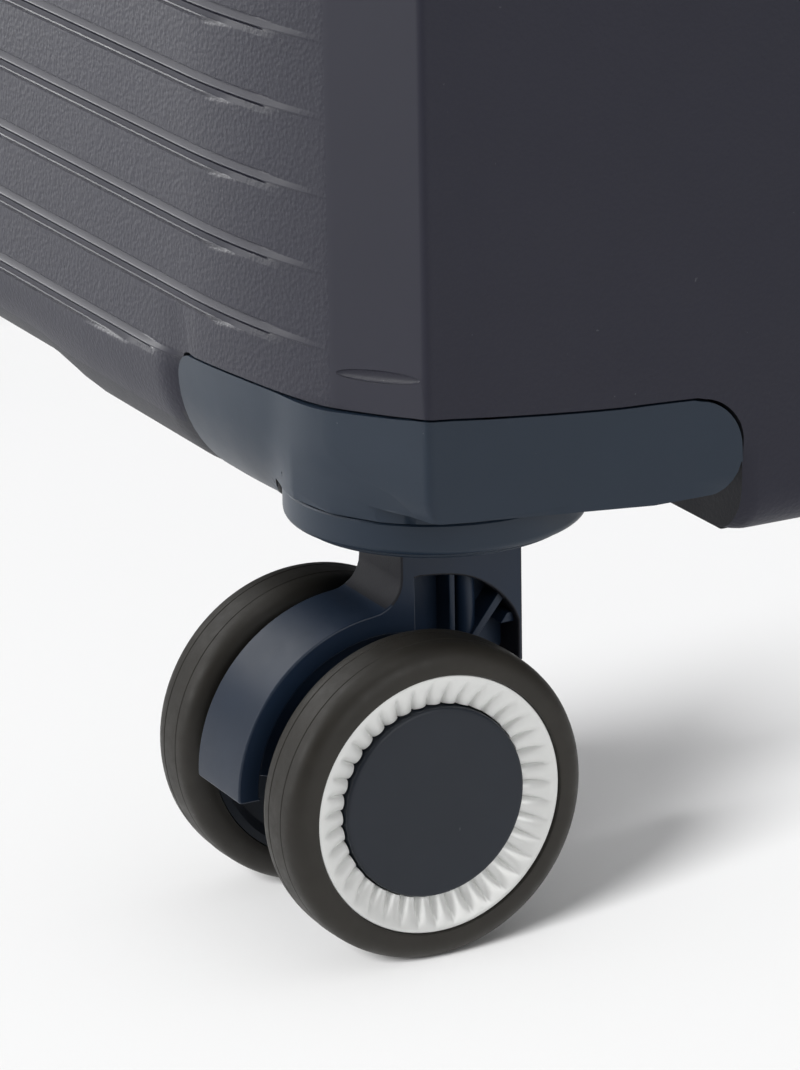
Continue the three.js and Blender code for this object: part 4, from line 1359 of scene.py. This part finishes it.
def strap_arm(side, up):
    """One arm of webbing, slightly arched, its edges thinner."""
    start = Vector((side * STRAP_START[0], MID_Z + up * STRAP_START[1]))
    end = Vector((side * STRAP_REACH[0], MID_Z + up * STRAP_REACH[1]))
    along = (end - start).normalized()
    across = Vector((-along.y, along.x)) * STRAP_WIDTH / 2
    level = 10.6 if up > 0 else 10.0
    layers = ([], [])
    rows = 60
    for k in range(rows + 1):
        lines = ([], [])
        for w in steps(-1, 1, 8):
            at = start + (end - start) * k / rows + across * w
            edge = 0.25 * (1 - min((1 - abs(w)) / 0.12, 1))
            lift = 0.35 * math.sin(k / rows * math.pi) + 0.12 * noise_at(k * 0.3, w)
            lines[0].append((at.x, level + lift + edge, at.y))
            lines[1].append((at.x, level + lift + STRAP_THICK - edge, at.y))
        for layer, line in zip(layers, lines):
            layer.append(line)
    return slab("arm", *layers)


def buckle(name, side):
    """Half of a side-release buckle: the socket on the right, the plug on the left."""
    outline = rounded(sorted(side * x for x in BUCKLE_X),
                      (MID_Z - BUCKLE_HALF, MID_Z + BUCKLE_HALF), 5)
    plate = prism("plate", outline, "y", *BUCKLE_Y)
    slot_x = sorted((side * 19.0, side * 22.6))
    cuts = [block("slot", slot_x, THROUGH, (MID_Z - 12.8, MID_Z + 12.8))]
    if side > 0:
        cuts.append(block("jaw", (0, 12), (11.6, 13.8), (MID_Z - 10, MID_Z + 10)))
        cuts.append(prism("window", rounded((4, 12), (MID_Z - 5, MID_Z + 5), 2.5), "y", 12, 18))
    else:
        cuts += [block("waist", (-13, -3), THROUGH, sorted((MID_Z + up * 13.2, MID_Z + up * 17.5)))
                 for up in (-1, 1)]
    combine(plate, cuts, "DIFFERENCE")
    soften(plate, 0.6, 2, 40)
    plate.name = "packing_buckle_" + name
    return plate


def make_straps():
    """Two packing straps, which cross the rear half and meet at a buckle."""
    for name, side in (("left", -1), ("right", 1)):
        arms = [strap_arm(side, up) for up in (-1, 1)]
        web = shade(joined("packing_webbing_" + name, arms), 60)
        plate = buckle(name, side)
        finished(web, "root", "webbing", WEBBING, "packing_strap_" + name)
        finished(plate, "root", "dark_plastic", TRIM)


# ---- lock ----
LOCK_FACE = HALF_W + 0.9
LOCK_WALL = 2.4
DIAL_Y = 27.6
DIAL_HEIGHTS = [MID_Z + 22 + 8 * k for k in (-1, 0, 1)]
DIAL_HALF = 1.95
DIAL_RADIUS = 4.55
DIAL_CENTRE = LOCK_FACE - 3.6
KNURLS = 20
KNURL_DEPTH = 0.22
KEYHOLE = (18.0, 326.0)
CATCH_Y = (14.5, 29.5)
CATCH_Z = (270.5, 278.5)


def lock_plate():
    """The lock's face and case, with slots for the dials and the catch, and a keyhole."""
    plate = prism("lock", rounded(LOCK_Y, LOCK_Z, 5.5), "x", HALF_W + GAP, LOCK_FACE + 0.15)
    soften(plate, 0.3, 3, 40)
    inside = block("inside", (HALF_W - 14, HALF_W + 0.7),
                   (LOCK_Y[0] + LOCK_WALL, LOCK_Y[1] - LOCK_WALL),
                   (LOCK_Z[0] + LOCK_WALL, LOCK_Z[1] - LOCK_WALL))
    combine(plate, [inside], "UNION")
    face = LOCK_FACE
    cuts = [block("slot", (face - 11, face + 5), (DIAL_Y - 5.4, DIAL_Y + 5.4), (z - 2.4, z + 2.4))
            for z in DIAL_HEIGHTS]
    cuts.append(prism("catch", rounded((14, 30), (270, 284), 1.5), "x", face - 3, face + 5))
    keyway = [(0.02, face - 0.5), (3.6, face - 0.5), (4.2, face + 2), (0.02, face + 2)]
    cuts.append(lathe("keyway", keyway, "x", (0, *KEYHOLE), 32))
    cuts.append(block("key", (face - 5, face), (KEYHOLE[0] - 0.5, KEYHOLE[0] + 0.5),
                      (KEYHOLE[1] - 2.2, KEYHOLE[1] + 2.2)))
    combine(plate, cuts, "DIFFERENCE")
    plate.name = "lock_plate"
    return shade(plate, 35)


def lock_dial(name, z):
    """A knurled wheel that stands in its slot."""
    outline = []
    for k in range(KNURLS * 4):
        turn = 2 * math.pi * k / (KNURLS * 4)
        radius = DIAL_RADIUS - (KNURL_DEPTH if k % 4 in (0, 1) else 0.0)
        outline.append((DIAL_CENTRE + radius * math.cos(turn), DIAL_Y + radius * math.sin(turn)))
    return soften(prism(name, outline, "z", z - DIAL_HALF, z + DIAL_HALF), 0.12, 1, 40)


def lock_catch():
    """The ribbed catch that slides to let the pull tabs go."""
    catch = prism("catch", rounded(CATCH_Y, CATCH_Z, 1.4), "x", LOCK_FACE - 2.5, LOCK_FACE + 1.0)
    cuts = [block("rib", (LOCK_FACE + 0.6, LOCK_FACE + 3), (CATCH_Y[0] + 2, CATCH_Y[1] - 2),
                  (z, z + 0.6)) for z in steps(CATCH_Z[0] + 1.7, CATCH_Z[1] - 1.8, 3)]
    combine(catch, cuts, "DIFFERENCE")
    soften(catch, 0.15, 2, 40)
    catch.name = "lock_catch"
    return catch


def make_lock():
    """The combination lock beside the zipper."""
    finished(lock_plate(), "root", "dark_plastic", TRIM, "lock_body")
    for i, z in enumerate(DIAL_HEIGHTS, 1):
        name = "lock_dial_" + str(i)
        finished(lock_dial("lock_dial_wheel_" + str(i), z), name, "dial_plastic", DIAL_GREY, name)
    finished(lock_catch(), "lock_release", "zip_metal", ZINC, "lock_release")


# ---- carry handles ----
PAN_DEPTH = 16.0
PAN_WALL = 1.6
GRIP_HALF = 63.0
GRIP_LEG = 9.0
GRIP_BAR = 7.0


def placed(obj, where):
    """Moves a piece drawn on the plane z = 0 to the top handle's place or the side one's."""
    if where == "top":
        obj.data.transform(Matrix.Translation(Vector((0, TOP_PAN_Y, SHELL_TOP)) * MM))
    else:
        obj.data.transform(Matrix.Translation(Vector((HALF_W, SIDE_PAN_Y, MID_Z)) * MM)
                           @ Matrix.Rotation(math.pi / 2, 4, "Y"))
    return obj


def handle_pan():
    """A recessed pan with a rim, and a fine line round the rim."""
    half, across = PAN_LENGTH / 2, PAN_WIDTH / 2

    def inner(name, wall, radius, low, high, corners=8):
        """The pan's outline, smaller by a wall, between two heights."""
        outline = rounded((wall - half, half - wall), (wall - across, across - wall), radius, corners)
        return prism(name, outline, "z", low, high)

    rim = soften(inner("pan", 0, 9, GAP, PROUD - 0.6), 0.55, 3, 40)
    combine(rim, [inner("pan_body", PAN_FLANGE, 3, -PAN_DEPTH, GAP + 0.4, 6)], "UNION")
    hollow = inner("hollow", PAN_FLANGE + PAN_WALL, 7, PAN_WALL - PAN_DEPTH, 10)
    line = inner("line", 1.5, 7.6, PROUD - 0.72, 5)
    combine(line, [inner("line", 1.9, 7.2, PROUD - 1.0, 6)], "DIFFERENCE")
    combine(rim, [soften(hollow, 2.2, 3, 60), line], "DIFFERENCE")
    return shade(rim, 35)


def handle_grip():
    """An arched bar with round legs, and ridges on its back for the fingers."""
    half, leg = GRIP_HALF, GRIP_HALF - GRIP_LEG
    floor, top = -PAN_DEPTH + 2.4, PROUD
    under = top - GRIP_BAR - 6
    outline = [(-half, floor), (-leg, floor), *arc((6 - leg, under), 6, 180, 90, 6),
               *arc((leg - 6, under), 6, 90, 0, 6), (leg, floor), (half, floor),
               *arc((half - 5, top - 5), 5, 0, 90, 6), *arc((5 - half, top - 5), 5, 90, 180, 6)]
    bar = soften(prism("bar", outline, "y", -9, 9), 1.9, 4, 40)
    cuts = [block("ridge", (x, x + 1.2), (-6.2, 6.2), (top - 0.45, top + 3))
            for x in steps(-38, 36.8, 17)]
    combine(bar, cuts, "DIFFERENCE")
    return shade(bar, 35)


def make_handles():
    """The same pan and grip on the top and on the zipper side."""
    pan, grip = handle_pan(), handle_grip()
    for where in ("top", "side"):
        for shape, kind, body, finish in ((pan, "pan", "root", TRIM_COARSE),
                                          (grip, "grip", where + "_handle_grip", TRIM)):
            piece = placed(mirrored(shape, where + "_" + kind, 1, 1, (0, 0, 0)), where)
            finished(piece, body, "dark_plastic", finish, where + "_handle_" + kind)
    discard(pan)
    discard(grip)


# ---- trolley handle ----
TROLLEY_HALF = 86.0
TROLLEY_Y = (64.0, 84.0)
TROLLEY_Z = (520.0, 540.0)
PARTING_X = 57.0  # a fine line sets each end cap off from the soft middle
BUTTON_HALF = 22.0
BUTTON_Y = (69.0, 79.0)
BEZEL_FLOOR = SHELL_TOP - 17.0


def widened(ends, more):
    """A pair of ends moved apart, or together where `more` is negative."""
    return (ends[0] - more, ends[1] + more)


def make_bezel():
    """The sunk frame that the trolley handle comes out of, with ribs on its floor."""
    rim = prism("bezel", rounded((-BEZEL_X, BEZEL_X), BEZEL_Y, 9, 8), "z",
                SHELL_TOP + GAP, SHELL_TOP + PROUD)
    soften(rim, 0.7, 3, 40)
    half, ends = BEZEL_X - PAN_FLANGE, widened(BEZEL_Y, -PAN_FLANGE)
    body = prism("body", rounded((-half, half), ends, 3), "z", BEZEL_FLOOR - 2, SHELL_TOP + GAP + 0.5)
    combine(rim, [body], "UNION")
    pocket = rounded((2 - half, half - 2), (ends[0] + 1, ends[1] - 1.4), 6, 8)
    cuts = [prism("pocket", pocket, "z", BEZEL_FLOOR, SHELL_TOP + 10)]
    for x in (-TUBE_X, TUBE_X):
        hole = rounded((x - 10.7, x + 10.7), (TUBE_Y - 5.2, TUBE_Y + 5.2), 2.4)
        cuts.append(prism("hole", hole, "z", 400, 600))
    cuts += [block("rib", (u, u + 2.4), (ends[0] + 3, ends[1] - 3.4),
                   (BEZEL_FLOOR - 0.6, BEZEL_FLOOR + 5)) for u in steps(-52, 49.6, 16)]
    combine(rim, cuts, "DIFFERENCE")
    rim.name = "trolley_bezel_frame"
    finished(shade(rim, 35), "root", "dark_plastic", TRIM_COARSE, "trolley_bezel")


def make_trolley_grip():
    """The rounded bar on top of the tubes, its middle soft."""
    bar = prism("bar", rounded((-TROLLEY_HALF, TROLLEY_HALF), TROLLEY_Z, 7, 8), "y", *TROLLEY_Y)
    soften(bar, 3.6, 5, 40)
    top = TROLLEY_Z[1]
    slot = rounded((-BUTTON_HALF - GAP, BUTTON_HALF + GAP), widened(BUTTON_Y, GAP), 4.2, 6)
    cuts = [prism("slot", slot, "z", top - 10, top + 5)]
    for u in (-PARTING_X, PARTING_X):
        outside = rounded(widened(TROLLEY_Y, 4), widened(TROLLEY_Z, 4), 5)
        core = rounded(widened(TROLLEY_Y, -0.5), widened(TROLLEY_Z, -0.5), 3.4)
        ring = prism("parting", outside, "x", u - 0.3, u + 0.3)
        cuts.append(combine(ring, [prism("core", core, "x", u - 2, u + 2)], "DIFFERENCE"))
    combine(bar, cuts, "DIFFERENCE")
    bar.name = "trolley_grip_bar"
    paint(shade(bar, 35), (TRIM, SOFT_GRIP), lambda x, *_: 1 if abs(x) < PARTING_X else 0)
    finished(bar, "trolley_inner_stage", "dark_plastic", None, "trolley_grip")


def make_trolley_button():
    """The ribbed button in the bar."""
    top = TROLLEY_Z[1]
    outline = rounded((-BUTTON_HALF, BUTTON_HALF), BUTTON_Y, 4, 6)
    button = soften(prism("button", outline, "z", top - 6, top + 1.5), 0.8, 3, 40)
    cuts = [block("rib", (u, u + 1.0), widened(BUTTON_Y, -2.5), (top + 1.1, top + 4))
            for u in steps(-10, 9, 8)]
    combine(button, cuts, "DIFFERENCE")
    button.name = "trolley_button_cap"
    finished(shade(button, 35), "trolley_button", "axle_steel", ZINC, "trolley_button")


def make_trolley():
    """The trolley handle. Its tubes and foot bracket are the frame's own."""
    make_bezel()
    make_trolley_grip()
    make_trolley_button()
    for side in ("left", "right"):
        for stage in ("outer", "middle", "inner"):
            dress(f"trolley_{stage}_tube_{side}", TUBE)
    dress("trolley_foot_bracket", TRIM_COARSE)


# ---- stage ----
CAMERA_PLACE = (0.8366, -0.4444, 0.316)
CAMERA_TURN = 62.33
CAMERA_RISE = 18.64
CAMERA_ROLL = -0.98
LENS = 178.3


def make_camera():
    """A long lens near the floor, aimed at the front right caster."""
    turn, rise, roll = (math.radians(a) for a in (CAMERA_TURN, CAMERA_RISE, CAMERA_ROLL))
    back = Vector((math.sin(turn) * math.cos(rise), -math.cos(turn) * math.cos(rise), math.sin(rise)))
    level = Vector((math.cos(turn), math.sin(turn), 0))
    upright = back.cross(level)
    right = math.cos(roll) * level + math.sin(roll) * upright
    up = back.cross(right)
    data = bpy.data.cameras.new("camera")
    data.lens = LENS
    data.sensor_fit = "AUTO"
    data.sensor_width = 36.0
    data.clip_end = 100
    camera = link("camera", data)
    camera.matrix_world = Matrix.Translation(Vector(CAMERA_PLACE)) @ Matrix(
        (right, up, back)).transposed().to_4x4()
    bpy.context.scene.camera = camera


def softbox(name, place, aim, size, power):
    """A rectangular light at a place in metres, turned to a point."""
    data = bpy.data.lights.new(name, "AREA")
    data.shape = "RECTANGLE"
    data.size, data.size_y = size
    data.energy = power
    lamp = link(name, data)
    way = Vector(aim) - Vector(place)
    lamp.matrix_world = Matrix.Translation(place) @ way.to_track_quat("-Z", "Y").to_matrix().to_4x4()
    return lamp


def linked(name, objs, state="INCLUDE"):
    """A light-linking collection that lets a light reach, or skip, the objects."""
    group = bpy.data.collections.new(name)
    for obj in objs:
        group.objects.link(obj)
    for entry in group.collection_objects:
        entry.light_linking.link_state = state
    return group


def sun(name, way, strength, angle):
    """A distant light shining along `way`, kept from missing its shadow links."""
    data = bpy.data.lights.new(name, "SUN")
    data.energy = strength
    data.angle = math.radians(angle)
    data.cycles.use_multiple_importance_sampling = False
    lamp = link(name, data)
    lamp.matrix_world = Vector(way).to_track_quat("-Z", "Y").to_matrix().to_4x4()
    return lamp


FLOOR_REACH = 20000
PAPER = (0.8, 0.8, 0.8, 1)
PAPER_GLOW = 0.05
SKY = 0.07
SUNS = (  # name, direction, strength, angle across it
    ("low_sun", (-0.41, 0.77, -0.52), 4.4, 22),
    ("high_sun", (-0.1, 0.1, -1), 1.1, 120),
)
SOFTBOXES = (  # name, place, aim, size, power, what it lights
    ("key", (-2.6, -1.2, 1.9), (0.1, -0.1, 0.1), (1.6, 1.6), 28, "not_paper"),
    ("graze", (-3.6, -1.15, 0.1), (0.1, -0.1, 0.1), (1.4, 0.5), 88, "case_only"),
    ("front", (-0.9, -2.2, 0.9), (0.1, -0.1, 0.1), (1.3, 1.3), 26, "not_paper"),
    ("top", (0.1, -0.3, 2.6), (0.1, 0, 0), (2.2, 2.2), 30, "not_paper"),
    ("fill", (2.1, 0.2, 1.0), (0.1, 0, 0.1), (1.4, 1.4), 19, "not_paper"),
)


def make_floor():
    """White paper to the horizon."""
    far = FLOOR_REACH
    floor = make("floor", [(-far, -far, 0), (far, -far, 0), (far, far, 0), (-far, far, 0)],
                 [(0, 1, 2, 3)])
    paper = bpy.data.materials.new("paper")
    paper.use_nodes = True
    shader = paper.node_tree.nodes["Principled BSDF"]
    shader.inputs["Base Color"].default_value = PAPER
    shader.inputs["Roughness"].default_value = 0.9
    shader.inputs["Specular IOR Level"].default_value = 0.0
    shader.inputs["Emission Color"].default_value = (1, 1, 1, 1)
    shader.inputs["Emission Strength"].default_value = PAPER_GLOW
    floor.data.materials.append(paper)
    return floor


def named(*endings):
    """The objects whose names start or end with one of the words."""
    return [o for o in bpy.data.objects
            if o.name.startswith(endings) or o.name.endswith(endings)]


def make_stage():
    """The paper is lit on its own, so that only the casters shade it."""
    scene = bpy.context.scene
    scene.view_settings.view_transform = "Standard"
    world = bpy.data.worlds.new("studio")
    scene.world = world
    world.use_nodes = True
    sky = world.node_tree.nodes["Background"]
    sky.inputs["Color"].default_value = (1, 1, 1, 1)
    sky.inputs["Strength"].default_value = SKY
    floor = make_floor()
    paper_only = linked("paper_only", [floor])
    shading = linked("shading", named("wheel_", "fork_"))
    for name, way, strength, angle in SUNS:
        lamp = sun(name, way, strength, angle)
        lamp.light_linking.receiver_collection = paper_only
        lamp.light_linking.blocker_collection = shading
    reached = {
        "not_paper": linked("not_paper", [floor], "EXCLUDE"),
        "case_only": linked("case_only", named("_half_shell", "corner_")),
    }
    for name, place, aim, size, power, group in SOFTBOXES:
        lamp = softbox(name, place, aim, size, power)
        lamp.light_linking.receiver_collection = reached[group]


make_camera()
make_shells()
make_casters()
make_zip()
make_sliders()
make_gusset()
make_linings()
make_straps()
make_lock()
make_handles()
make_trolley()
make_stage()
